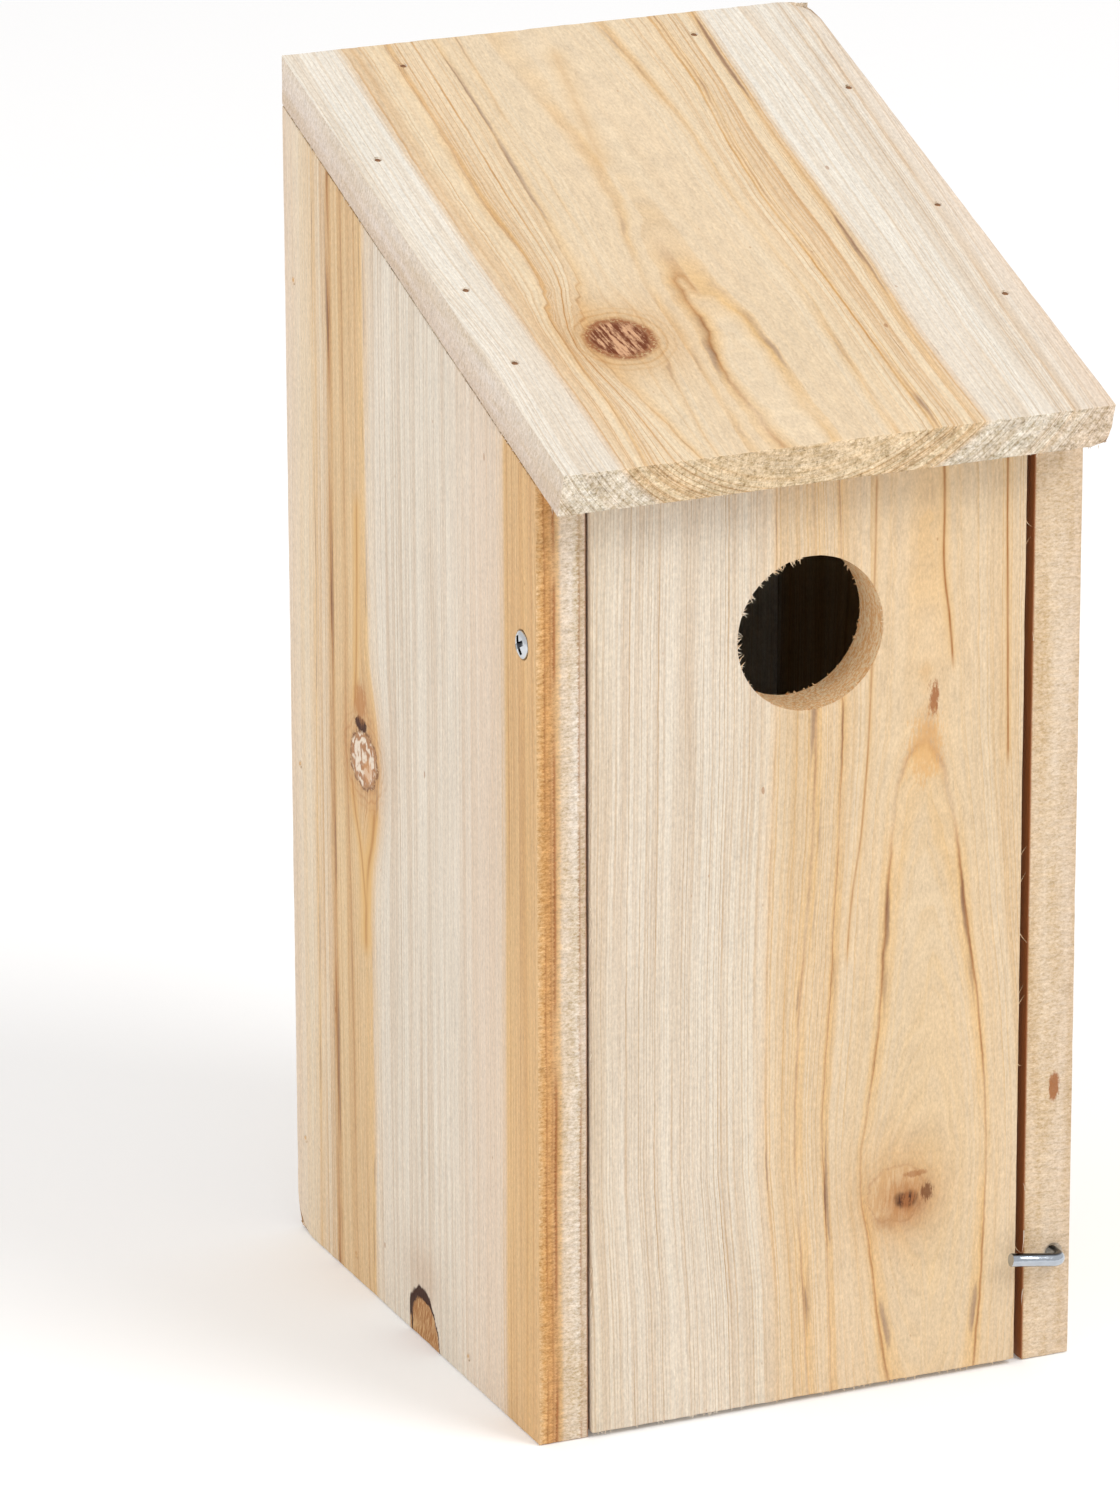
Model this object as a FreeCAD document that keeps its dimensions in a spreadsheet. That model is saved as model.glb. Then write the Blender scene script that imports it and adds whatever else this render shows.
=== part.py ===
import FreeCAD, Part
import os

import Sketcher
from FreeCAD import Placement, Rotation, Vector

# A wooden nest box: five fixed boards nailed together, and a front board that swings as a door.
# Frame: +Z up, the front faces -Y, the origin is under the middle of the box at its base.

doc = FreeCAD.newDocument("birdhouse")
sheet = doc.addObject("Spreadsheet::Sheet", "params")

DIMENSIONS = {
    # the box and its roof
    "body_width": 120,
    "overall_depth": 145,
    "overall_height": 260,
    "roof_overhang": 14,
    "roof_slope": 19.4,
    "roof_thickness": 10,
    "board_thickness": 11,
    # the door, measured from the box's base and its side boards
    "door_bottom": 1,
    "door_top": 201,
    "door_proud": 1,
    "door_gap_left": 0.3,
    "door_gap_right": 2,
    "door_stop_gap": 0.1,
    "entrance_diameter": 32,
    "entrance_height": 165.5,
    # the two pivot screws
    "pivot_height": 168.6,
    "pivot_setback": 7,
    "screw_shank": 3.5,
    "screw_length": 30,
    "screw_tip": 4,
    "screw_head": 5.8,
    "head_depth": 1.5,
    "head_dome": 0.8,
    "head_lift": 0.1,
    "recess_length": 3.1,
    "recess_width": 0.8,
    "recess_depth": 1.1,
    "running_clearance": 0.05,
    # the latch hook
    "hook_wire": 2.8,
    "hook_edge": 4,
    "hook_height": 23,
    "hook_depth": 13,
    "hook_tip": 3,
    "hook_standoff": 4.2,
    "hook_bend": 2.4,
    "hook_reach": 12,
    "hook_tilt": 9,
    # nails and where they are driven
    "nail_shank": 1.2,
    "nail_head": 1.5,
    "nail_head_height": 0.7,
    "nail_length": 20,
    "nail_tip": 1.5,
    "roof_nail_inset": 5.5,
    "roof_nail_left_1": 41,
    "roof_nail_left_2": 89,
    "roof_nail_left_3": 115,
    "roof_nail_right_1": 34,
    "roof_nail_right_2": 79,
    "roof_nail_right_3": 112,
    "roof_nail_back_s": 8.5,
    "roof_nail_back_x1": -36,
    "roof_nail_back_x2": 30,
    "back_nail_inset": 5.5,
    "back_nail_z1": 22,
    "back_nail_z2": 107,
    "back_nail_z3": 213,
    "floor_nail_height": 5.5,
    "floor_nail_y1": -22,
    "floor_nail_y2": 39,
    # two screw holes for hanging the box
    "hanging_hole": 4.5,
    "hanging_low": 60,
    "hanging_high": 200,
}

for row, (alias, value) in enumerate(DIMENSIONS.items(), start=1):
    sheet.set(f"A{row}", alias)
    sheet.set(f"B{row}", str(value))
    sheet.setAlias(f"B{row}", alias)
doc.recompute()

# Places that several boards share, as expressions of the sheet.
P = "params."
HALF_WIDTH = f"{P}body_width / 2"
INNER_X = f"({HALF_WIDTH} - {P}board_thickness)"
BACK_Y = f"{P}overall_depth / 2"
ROOF_FRONT_Y = f"-{P}overall_depth / 2"
FRONT_Y = f"({P}roof_overhang - {P}overall_depth / 2)"
BACK_BOARD_Y = f"({BACK_Y} - {P}board_thickness)"
DOOR_FRONT_Y = f"({FRONT_Y} - {P}door_proud)"
DOOR_BACK_Y = f"({DOOR_FRONT_Y} + {P}board_thickness)"
DOOR_LEFT_X = f"({P}door_gap_left - {INNER_X})"
DOOR_RIGHT_X = f"({INNER_X} - {P}door_gap_right)"
PIVOT_Y = f"({FRONT_Y} + {P}pivot_setback)"
HOOK_X = f"({HALF_WIDTH} - {P}hook_edge)"
TAN = f"tan({P}roof_slope)"
SIN = f"sin({P}roof_slope)"
COS = f"cos({P}roof_slope)"


def roof_top_z(y):
    """Height of the roof's upper face over y."""
    return f"({P}overall_height - ({BACK_Y} - {y}) * {TAN})"


def roof_under_z(y):
    """Height of the roof's under face over y, where the boards end."""
    return f"({roof_top_z(y)} - {P}roof_thickness / {COS})"


def place(part, x="0", y="0", z="0", axis=Vector(0, 0, 1), angle=None):
    """Put a sub-part at expressions of the sheet, turned about an axis."""
    part.Placement = Placement(Vector(0, 0, 0), Rotation(axis, 0))
    for name, value in (("x", x), ("y", y), ("z", z)):
        part.setExpression(f"Placement.Base.{name}", value)
    if angle is not None:
        part.setExpression("Placement.Rotation.Angle", angle)


def new_body(label):
    body = doc.addObject("PartDesign::Body", label)
    body.Label = label
    return body


def new_sketch(body, name, role):
    """A sketch on one of the body's own origin planes."""
    plane = next(item for item in body.Origin.OriginFeatures if item.Role == role)
    sketch = body.newObject("Sketcher::SketchObject", f"{body.Name}_{name}")
    sketch.AttachmentSupport = [(plane, "")]
    sketch.MapMode = "FlatFace"
    return sketch


def pin_point(sketch, edge, end, x, y):
    """Fix one end of an edge at two expressions, measured from the sketch's origin."""
    now = sketch.getPoint(edge, end)
    for kind, start, value in (("DistanceX", now.x, x), ("DistanceY", now.y, y)):
        number = sketch.addConstraint(Sketcher.Constraint(kind, -1, 1, edge, end, start))
        sketch.setExpression(f"Constraints[{number}]", value)


def draw_polygon(sketch, corners):
    """A closed outline through corners given as pairs of expressions."""
    count = len(corners)
    rough = [Vector(10 + 5 * i, (i * i) % 7, 0) for i in range(count)]
    for i in range(count):
        sketch.addGeometry(Part.LineSegment(rough[i], rough[(i + 1) % count]), False)
    for i in range(count):
        sketch.addConstraint(Sketcher.Constraint("Coincident", i, 2, (i + 1) % count, 1))
    for i, (x, y) in enumerate(corners):
        pin_point(sketch, i, 1, x, y)


def draw_circle(sketch, x, y, radius):
    """A circle about a point, all given as expressions."""
    circle = sketch.addGeometry(Part.Circle(Vector(1, 1, 0), Vector(0, 0, 1), 1.0), False)
    pin_point(sketch, circle, 3, x, y)
    number = sketch.addConstraint(Sketcher.Constraint("Radius", circle, 1.0))
    sketch.setExpression(f"Constraints[{number}]", radius)


def add_feature(body, kind, name, sketch):
    feature = body.newObject(f"PartDesign::{kind}", f"{body.Name}_{name}")
    feature.Profile = sketch
    sketch.Visibility = False
    return feature


def cut_feature(body, kind, name, sketch, **settings):
    """A Pocket or Groove, checked to take material away."""
    doc.recompute()
    before = body.Shape.Volume
    feature = add_feature(body, kind, name, sketch)
    for key, value in settings.items():
        setattr(feature, key, value)
    doc.recompute()
    if body.Shape.Volume >= before - 1e-6:
        raise RuntimeError(f"{feature.Name} cut nothing")
    return feature


def extrude_x(body, name, corners, length, middle):
    """A pad along X of an outline given in Y and Z."""
    sketch = new_sketch(body, name, "YZ_Plane")
    draw_polygon(sketch, corners)
    pad = add_feature(body, "Pad", f"{name}_pad", sketch)
    pad.setExpression("Length", length)
    pad.Midplane = middle
    return pad


def revolve_z(body, name, corners):
    """A turned shape about Z from half of its section, given as radius and height."""
    sketch = new_sketch(body, name, "XZ_Plane")
    draw_polygon(sketch, corners)
    turned = add_feature(body, "Revolution", f"{name}_turned", sketch)
    turned.ReferenceAxis = (sketch, ["V_Axis"])
    turned.Angle = 360
    return turned


def roof_board():
    """Square-cut at the front, cut upright at the back so that it hangs flush on a wall."""
    body = new_body("roof_board_blank")
    front_top = roof_top_z(ROOF_FRONT_Y)
    corners = [
        (BACK_Y, f"{P}overall_height"),
        (ROOF_FRONT_Y, front_top),
        (f"{ROOF_FRONT_Y} + {P}roof_thickness * {SIN}", f"{front_top} - {P}roof_thickness * {COS}"),
        (BACK_Y, roof_under_z(BACK_Y)),
    ]
    extrude_x(body, "profile", corners, f"{P}body_width", True)
    return body


def back_board():
    """Between the side boards, with two holes for the screws that hang the box."""
    body = new_body("back_board_blank")
    corners = [
        (BACK_BOARD_Y, "0"),
        (BACK_Y, "0"),
        (BACK_Y, roof_under_z(BACK_Y)),
        (BACK_BOARD_Y, roof_under_z(BACK_BOARD_Y)),
    ]
    extrude_x(body, "profile", corners, f"2 * {INNER_X}", True)
    holes = new_sketch(body, "holes", "XZ_Plane")
    for height in (f"{P}hanging_low", f"{P}hanging_high"):
        draw_circle(holes, "0", height, f"{P}hanging_hole / 2")
    cut_feature(body, "Pocket", "hanging_holes", holes, Type="ThroughAll", Reversed=False, Midplane=True)
    return body


def side_board(label, side):
    """side is -1 for the left board and 1 for the right one."""
    body = new_body(label)
    corners = [
        (FRONT_Y, "0"),
        (BACK_Y, "0"),
        (BACK_Y, roof_under_z(BACK_Y)),
        (FRONT_Y, roof_under_z(FRONT_Y)),
    ]
    extrude_x(body, "profile", corners, f"{P}board_thickness", False)
    place(body, x=f"-{HALF_WIDTH}" if side < 0 else INNER_X)
    cut_pivot_hole(body, side)
    if side > 0:
        cut_hook_hole(body)
    return body


def cut_pivot_hole(body, side):
    """A running hole for the pivot screw, with a countersink in the outer face."""
    groove = new_sketch(body, "pivot_hole", "XZ_Plane")
    groove.setExpression("AttachmentOffset.Base.y", f"{P}pivot_height")
    groove.setExpression("AttachmentOffset.Base.z", f"-{PIVOT_Y}")
    hole = f"({P}screw_shank / 2 + {P}running_clearance)"
    sink = f"({P}screw_head / 2 + {P}head_lift)"

    def depth(value):
        """X of a point this far in from the outer face."""
        return value if side < 0 else f"{P}board_thickness - ({value})"

    corners = [
        (depth("-1"), "0"),
        (depth("-1"), sink),
        (depth("0"), sink),
        (depth(f"{P}head_depth"), hole),
        (depth(f"{P}board_thickness + 1"), hole),
        (depth(f"{P}board_thickness + 1"), "0"),
    ]
    draw_polygon(groove, corners)
    cut_feature(body, "Groove", "pivot_bore", groove, ReferenceAxis=(groove, ["H_Axis"]), Angle=360)


def cut_hook_hole(body):
    """A blind hole in the front edge, a running fit on the latch hook's stem."""
    hole = new_sketch(body, "hook_hole", "XZ_Plane")
    hole.setExpression("AttachmentOffset.Base.z", f"-{FRONT_Y}")
    radius = f"{P}hook_wire / 2 + {P}running_clearance"
    draw_circle(hole, f"{HOOK_X} - {INNER_X}", f"{P}hook_height", radius)
    pocket = cut_feature(body, "Pocket", "hook_bore", hole, Type="Length", Reversed=False)
    pocket.setExpression("Length", f"{P}hook_depth + 0.2")


def floor_board():
    """Between the side boards and in front of the back board: the door shuts against it."""
    box = doc.addObject("Part::Box", "floor_board_blank")
    front = f"({DOOR_BACK_Y} + {P}door_stop_gap)"
    box.setExpression("Length", f"2 * {INNER_X}")
    box.setExpression("Width", f"{BACK_BOARD_Y} - {front}")
    box.setExpression("Height", f"{P}board_thickness")
    place(box, x=f"-{INNER_X}", y=front)
    return box


def front_door():
    """The front board with its entrance hole; it swings about the two pivot screws."""
    body = new_body("front_door_blank")
    outline = new_sketch(body, "outline", "XZ_Plane")
    draw_polygon(outline, [
        (DOOR_LEFT_X, f"{P}door_bottom"),
        (DOOR_RIGHT_X, f"{P}door_bottom"),
        (DOOR_RIGHT_X, f"{P}door_top"),
        (DOOR_LEFT_X, f"{P}door_top"),
    ])
    pad = add_feature(body, "Pad", "board", outline)
    pad.setExpression("Length", f"{P}board_thickness")
    entrance = new_sketch(body, "entrance", "XZ_Plane")
    middle = f"({DOOR_LEFT_X} + {DOOR_RIGHT_X}) / 2"
    draw_circle(entrance, middle, f"{P}entrance_height", f"{P}entrance_diameter / 2")
    cut_feature(body, "Pocket", "entrance_hole", entrance, Type="ThroughAll", Midplane=True)
    place(body, y=DOOR_BACK_Y)
    return body


def nail(label):
    """A small round-headed brad; its head's top is at the local origin and it points down."""
    body = new_body(label)
    head, shank = f"{P}nail_head / 2", f"{P}nail_shank / 2"
    revolve_z(body, "section", [
        ("0", "0"),
        (head, "0"),
        (head, f"-{P}nail_head_height"),
        (shank, f"-{P}nail_head_height"),
        (shank, f"{P}nail_tip - {P}nail_length"),
        ("0", f"-{P}nail_length"),
    ])
    return body


def roof_nails():
    """Driven square to the roof: s is the distance down the slope from the back edge."""
    edge = f"({HALF_WIDTH} - {P}roof_nail_inset)"
    spots = [(f"left_{i}", f"-{edge}", f"{P}roof_nail_left_{i}") for i in (1, 2, 3)]
    spots += [(f"right_{i}", edge, f"{P}roof_nail_right_{i}") for i in (1, 2, 3)]
    spots += [(f"back_{i}", f"{P}roof_nail_back_x{i}", f"{P}roof_nail_back_s") for i in (1, 2)]
    nails = {}
    for name, x, s in spots:
        body = nail(f"roof_nail_{name}")
        place(body, x, f"{BACK_Y} - {s} * {COS}", f"{P}overall_height - {s} * {SIN}",
              Vector(1, 0, 0), f"{P}roof_slope")
        nails[name] = body
    return nails


def side_nails(side_name, side):
    """Driven straight in through a side board: three into the back board, two into the floor."""
    spots = [(f"back_{i}", f"{BACK_Y} - {P}back_nail_inset", f"{P}back_nail_z{i}") for i in (1, 2, 3)]
    spots += [(f"floor_{i}", f"{P}floor_nail_y{i}", f"{P}floor_nail_height") for i in (1, 2)]
    nails = {}
    for name, y, z in spots:
        body = nail(f"{side_name}_nail_{name}")
        place(body, f"{side} * {HALF_WIDTH}", y, z, Vector(0, 1, 0), f"{side} * 90")
        nails[name] = body
    return nails


def pivot_screw(label, side):
    """A raised countersunk screw with a cross recess; it is fast in the door and turns in the side."""
    body = new_body(label)
    head, shank = f"{P}screw_head / 2", f"{P}screw_shank / 2"
    top, rim = f"{P}head_lift + {P}head_dome", f"{P}head_lift"
    revolve_z(body, "section", [
        ("0", top),
        (f"{head} * 0.55", f"{top} - {P}head_dome * 0.2"),
        (f"{head} * 0.9", f"{rim} + {P}head_dome * 0.35"),
        (head, rim),
        (shank, f"{rim} - {P}head_depth"),
        (shank, f"{P}screw_tip - {P}screw_length"),
        ("0", f"-{P}screw_length"),
    ])
    recess = new_sketch(body, "recess", "XY_Plane")
    recess.setExpression("AttachmentOffset.Base.z", top)
    draw_cross(recess, f"{P}recess_length / 2", f"{P}recess_width / 2")
    pocket = cut_feature(body, "Pocket", "cross_recess", recess, Type="Length", Length=1.0)
    pocket.setExpression("Length", f"{P}recess_depth")
    place(body, f"{side} * {HALF_WIDTH}", PIVOT_Y, f"{P}pivot_height", Vector(0, 1, 0), f"{side} * 90")
    return body


def draw_cross(sketch, reach, half):
    """A plus sign with four equal arms."""
    arm = [(reach, f"-{half}"), (reach, half), (half, half)]
    corners = []
    for turn in range(4):
        for x, y in arm:
            for _ in range(turn):
                x, y = f"-({y})", x
            corners.append((x, y))
    draw_polygon(sketch, corners)


def latch_hook():
    """A bent wire: its stem is screwed into the right side board and its arm lies over the door."""
    body = new_body("latch_hook")
    spine = new_sketch(body, "spine", "XY_Plane")
    stem_end = f"({P}hook_depth - {P}hook_tip)"
    stem = spine.addGeometry(Part.LineSegment(Vector(0, 10, 0), Vector(0, -2, 0)), False)
    arm = spine.addGeometry(Part.LineSegment(Vector(-2, -4, 0), Vector(-12, -4, 0)), False)
    arc = spine.addGeometry(
        Part.ArcOfCircle(Part.Circle(Vector(-2, -2, 0), Vector(0, 0, 1), 2), 4.712, 6.283), False)
    pin_point(spine, stem, 1, "0", stem_end)
    pin_point(spine, arm, 2, f"-{P}hook_reach", f"-{P}hook_standoff")
    spine.addConstraint(Sketcher.Constraint("Vertical", stem))
    spine.addConstraint(Sketcher.Constraint("Horizontal", arm))
    spine.addConstraint(Sketcher.Constraint("Tangent", arc, 1, arm, 1))
    spine.addConstraint(Sketcher.Constraint("Tangent", arc, 2, stem, 2))
    number = spine.addConstraint(Sketcher.Constraint("Radius", arc, 2.0))
    spine.setExpression(f"Constraints[{number}]", f"{P}hook_bend")
    wire = new_sketch(body, "wire", "XZ_Plane")
    wire.setExpression("AttachmentOffset.Base.z", f"-{stem_end}")
    draw_circle(wire, "0", "0", f"{P}hook_wire / 2")
    doc.recompute()
    pipe = add_feature(body, "AdditivePipe", "bent_wire", wire)
    pipe.Spine = (spine, [])
    doc.recompute()
    tip = new_sketch(body, "tip", "XY_Plane")
    draw_polygon(tip, [("0", stem_end), (f"{P}hook_wire / 2", stem_end), ("0", f"{P}hook_depth")])
    point = add_feature(body, "Revolution", "screw_tip", tip)
    point.ReferenceAxis = (tip, ["V_Axis"])
    point.Angle = 360
    place(body, HOOK_X, FRONT_Y, f"{P}hook_height", Vector(0, 1, 0), f"{P}hook_tilt")
    return body


def drilled(label, blank, fasteners):
    """A board with the holes that its nails or screws fill."""
    group = doc.addObject("Part::Compound", f"{label}_fasteners")
    group.Links = fasteners
    board = doc.addObject("Part::Cut", label)
    board.Base = blank
    board.Tool = group
    board.Label = label
    return board


def assemble():
    """Every sub-part of the box, in a fixed order."""
    roof = roof_nails()
    left = side_nails("left", -1)
    right = side_nails("right", 1)
    screws = [pivot_screw("left_pivot_screw", -1), pivot_screw("right_pivot_screw", 1)]
    hook = latch_hook()

    def pick(nails, start):
        return [body for name, body in nails.items() if name.startswith(start)]

    left_side = side_board("left_side_blank", -1)
    right_side = side_board("right_side_blank", 1)
    boards = [
        drilled("roof_board", roof_board(), list(roof.values())),
        drilled("back_board", back_board(), pick(roof, "back") + pick(left, "back") + pick(right, "back")),
        drilled("floor_board", floor_board(), pick(left, "floor") + pick(right, "floor")),
        drilled("left_side_board", left_side, pick(roof, "left") + list(left.values())),
        drilled("right_side_board", right_side, pick(roof, "right") + list(right.values())),
        drilled("front_door", front_door(), screws),
    ]
    nails = list(roof.values()) + list(left.values()) + list(right.values())
    return boards + screws + [hook] + nails


def check(parts):
    """Stop if any feature failed or any sub-part isn't one valid solid."""
    for item in doc.Objects:
        if "Invalid" in item.State or "Error" in item.State:
            raise RuntimeError(f"{item.Name} failed: {item.State}")
    for part in parts:
        shape = part.Shape
        if shape.isNull() or not shape.isValid() or len(shape.Solids) != 1:
            raise RuntimeError(f"{part.Label} isn't one valid solid")


subparts = assemble()
doc.recompute()
check(subparts)
os.makedirs("parts", exist_ok=True)
for subpart in subparts:
    subpart.Shape.exportStep(f"parts/{subpart.Label}.step")
    print(subpart.Label, round(subpart.Shape.Volume, 1), subpart.Shape.BoundBox)
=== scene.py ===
import math
import random

import bmesh
import bpy
from mathutils import Matrix, Vector, noise


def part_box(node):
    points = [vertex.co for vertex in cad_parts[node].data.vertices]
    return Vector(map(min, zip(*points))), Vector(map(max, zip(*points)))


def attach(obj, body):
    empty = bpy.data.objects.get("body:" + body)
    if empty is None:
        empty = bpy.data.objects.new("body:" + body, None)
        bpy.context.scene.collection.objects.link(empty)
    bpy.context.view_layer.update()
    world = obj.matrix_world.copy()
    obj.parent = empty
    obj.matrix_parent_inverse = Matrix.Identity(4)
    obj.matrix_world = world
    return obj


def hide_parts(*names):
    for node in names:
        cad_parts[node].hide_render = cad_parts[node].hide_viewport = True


# A birdhouse of unfinished softwood. Lengths are in millimetres up to the mesh, which is in metres.
# Each board has its own frame: u across the grain, v along it, w out of its face.

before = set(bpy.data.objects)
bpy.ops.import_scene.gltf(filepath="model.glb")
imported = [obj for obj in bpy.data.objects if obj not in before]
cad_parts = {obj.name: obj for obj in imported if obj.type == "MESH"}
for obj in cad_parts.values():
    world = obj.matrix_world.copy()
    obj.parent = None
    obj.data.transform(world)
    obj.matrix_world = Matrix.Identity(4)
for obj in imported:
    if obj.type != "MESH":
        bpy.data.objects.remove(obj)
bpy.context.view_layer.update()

MM = 0.001
SLOPE = math.radians(19.4)
ROOF_THICKNESS = 10.0
BOARD = 11.0
HOOK_WIRE = 1.4       # radius
HOOK_INSET = 4.0      # from the right board's outer face
NAIL_LENGTH = 19.4
NAIL_PIT = (0.90, 0.62, 0.32)    # radius at the face, radius at the nail's head, depth


def box_mm(node):
    """Lowest and highest corner of a CAD node, in millimetres."""
    low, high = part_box(node)
    return low / MM, high / MM


# Sizes that the boards share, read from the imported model.
ROOF_LOW, ROOF_HIGH = box_mm("roof_board")
SIDE_LOW, SIDE_HIGH = box_mm("left_side_board")
BACK_HIGH = box_mm("back_board")[1]
FLOOR_LOW, FLOOR_HIGH = box_mm("floor_board")
DOOR_LOW, DOOR_HIGH = box_mm("front_door")
HOOK_LOW, HOOK_HIGH = box_mm("latch_hook")
SCREW_LOW, SCREW_HIGH = box_mm("left_pivot_screw")

HALF_WIDTH = ROOF_HIGH.x
BACK_Y = ROOF_HIGH.y
ROOF_LENGTH = (ROOF_HIGH.y - ROOF_LOW.y) / math.cos(SLOPE)
RISE = math.tan(SLOPE)
PIVOT_Y = (SCREW_LOW.y + SCREW_HIGH.y) / 2
PIVOT_Z = (SCREW_LOW.z + SCREW_HIGH.z) / 2
HOOK_X, HOOK_Z = HALF_WIDTH - HOOK_INSET, 23.0
ENTRANCE = ((DOOR_LOW.x + DOOR_HIGH.x) / 2, 165.5, 16.0)    # u and v on the door, radius


# ---- shader graphs


class Value:
    """A socket of a shader graph that can be used in a formula."""

    def __init__(self, graph, socket):
        self.graph, self.socket = graph, socket


def give_operator(name, operation):
    """Let a Python operator add a math node to the graph of its values."""
    setattr(Value, f"__{name}__", lambda self, other: self.graph.math(operation, self, other))
    setattr(Value, f"__r{name}__", lambda self, other: self.graph.math(operation, other, self))


for operator_name, node_operation in (("add", "ADD"), ("sub", "SUBTRACT"), ("mul", "MULTIPLY"),
                                      ("truediv", "DIVIDE"), ("pow", "POWER")):
    give_operator(operator_name, node_operation)


class Graph:
    """A material and short ways to add nodes to it."""

    def __init__(self, name):
        self.material = bpy.data.materials.new(name)
        self.material.use_nodes = True
        self.tree = self.material.node_tree
        self.shader = self.tree.nodes["Principled BSDF"]

    def add(self, kind, inputs=(), **settings):
        node = self.tree.nodes.new(kind)
        for key, value in settings.items():
            setattr(node, key, value)
        for key, value in dict(inputs).items():
            self.plug(node.inputs[key], value)
        return node

    def plug(self, socket, value):
        if isinstance(value, Value):
            self.tree.links.new(value.socket, socket)
        else:
            socket.default_value = value

    def out(self, node, name=0):
        return Value(self, node.outputs[name])

    def math(self, operation, *values):
        node = self.add("ShaderNodeMath", enumerate(values), operation=operation)
        return self.out(node)

    def vector(self, x, y, z):
        return self.out(self.add("ShaderNodeCombineXYZ", {"X": x, "Y": y, "Z": z}))

    def colour(self, red, green, blue):
        return self.out(self.add("ShaderNodeCombineColor", {"Red": red, "Green": green, "Blue": blue}))

    def noise(self, x, y, z, detail=1, rough=0.5):
        """Smooth noise from 0 to 1 about 0.5, with one blob per unit of x, y and z."""
        node = self.add("ShaderNodeTexNoise", {"Vector": self.vector(x, y, z), "Scale": 1, "Detail": detail,
                                               "Roughness": rough})
        return self.out(node, "Fac")

    def cloud(self, x, y, z, detail=1, rough=0.5):
        """The same noise about 0."""
        return self.noise(x, y, z, detail, rough) - 0.5

    def random(self, number):
        """A random number from 0 to 1 that stays the same for the same whole number."""
        node = self.add("ShaderNodeTexWhiteNoise", {"W": number}, noise_dimensions="1D")
        return self.out(node, "Value")

    def step(self, value, low, high):
        """Rises smoothly from 0 at low to 1 at high."""
        node = self.add("ShaderNodeMapRange", {"Value": value, "From Min": low, "From Max": high},
                        interpolation_type="SMOOTHSTEP")
        return self.out(node, "Result")

    def squares(self, first, *others):
        """The sum of the squares."""
        total = first * first
        for other in others:
            total = total + other * other
        return total

    def length(self, *sides):
        return self.math("SQRT", self.squares(*sides))

    def bell(self, *ratios):
        """Falls from 1 where every ratio is 0 to about a third where their length is 1."""
        return self.math("EXPONENT", self.squares(*ratios) * -1.0)

    def mix(self, share, first, second, blend="MIX"):
        node = self.add("ShaderNodeMix", data_type="RGBA", blend_type=blend)
        self.plug(node.inputs["Factor"], share)
        self.plug(node.inputs[6], first)
        self.plug(node.inputs[7], second)
        return self.out(node, 2)

    def tint(self, colour, red, green, blue):
        return self.mix(1.0, colour, self.colour(red, green, blue), "MULTIPLY")

    def ramp(self, share, stops):
        """A colour ramp from 0 to 1: stops are (share, colour)."""
        node = self.add("ShaderNodeValToRGB", {"Fac": share})
        elements = node.color_ramp.elements
        while len(elements) < len(stops):
            elements.new(0.5)
        for element, (place, colour) in zip(elements, stops):
            element.position = place
        for element, (place, colour) in zip(elements, stops):
            element.color = colour
        return node

    def bands(self, value, stops):
        """A colour that changes along value: stops are (value, colour) or (from, to, colour)."""
        stops = [(place, colour) for *places, colour in stops for place in places]
        low, length = stops[0][0], stops[-1][0] - stops[0][0]
        shares = [((place - low) / length, colour) for place, colour in stops]
        return self.out(self.ramp((value - low) / length, shares), "Color")

    def xyz(self, node, name):
        """The three parts of a node's vector."""
        parts = self.add("ShaderNodeSeparateXYZ", {0: self.out(node, name)})
        return [self.out(parts, axis) for axis in "XYZ"]

    def local_mm(self):
        """The piece's own x, y, z in millimetres."""
        return [part * (1.0 / MM) for part in self.xyz(self.add("ShaderNodeTexCoord"), "Object")]

    def board_mm(self):
        """A board's u, v, w in millimetres, kept in its mesh."""
        return self.xyz(self.add("ShaderNodeAttribute", attribute_name="place"), "Vector")

    def board_normal(self, frame_of):
        """How squarely the surface faces along a board's u, v and w."""
        where = self.add("ShaderNodeTexCoord")
        found = []
        for i in range(3):
            node = self.add("ShaderNodeVectorMath", {0: self.out(where, "Normal")}, operation="DOT_PRODUCT")
            node.inputs[1].default_value = frame_of.col[i].to_3d()
            found.append(self.math("ABSOLUTE", self.out(node, "Value")))
        return found

    def bump(self, height, strength, distance):
        """The surface's direction over small hills; distance is in millimetres."""
        return self.out(self.add("ShaderNodeBump", {"Height": height, "Strength": strength,
                                                    "Distance": distance * MM}))

    def finish(self, **inputs):
        """Set the shader's inputs, whose names have spaces for underscores, and hand out the material."""
        for name, value in inputs.items():
            self.plug(self.shader.inputs[name.replace("_", " ")], value)
        return self.material


LIGHT = 1.18          # how bright a white card would look in the studio light


def rgb(red, green, blue):
    """The paint colour that looks like a screen colour, 0 to 255, in the studio light."""
    def linear(value):
        value = value / 255
        return (value / 12.92 if value <= 0.04045 else ((value + 0.055) / 1.055) ** 2.4) / LIGHT

    return (linear(red), linear(green), linear(blue), 1.0)


# ---- wood


def off_middle(u, v, mark):
    """How far a place is from a mark's middle, in the mark's own sizes."""
    return (u - mark["u"]) / mark["size"][0], (v - mark["v"]) / mark["size"][1]


def knot_distance(g, u, v, knot):
    """0 at a knot's middle and 1 on its outline, which is a little uneven."""
    du, dv = off_middle(u, v, knot)
    uneven = g.noise(u * 0.30, v * 0.30, knot["v"] * 0.1, 2)
    return g.length(du, dv) + (uneven - 0.5) * knot["uneven"]


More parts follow.
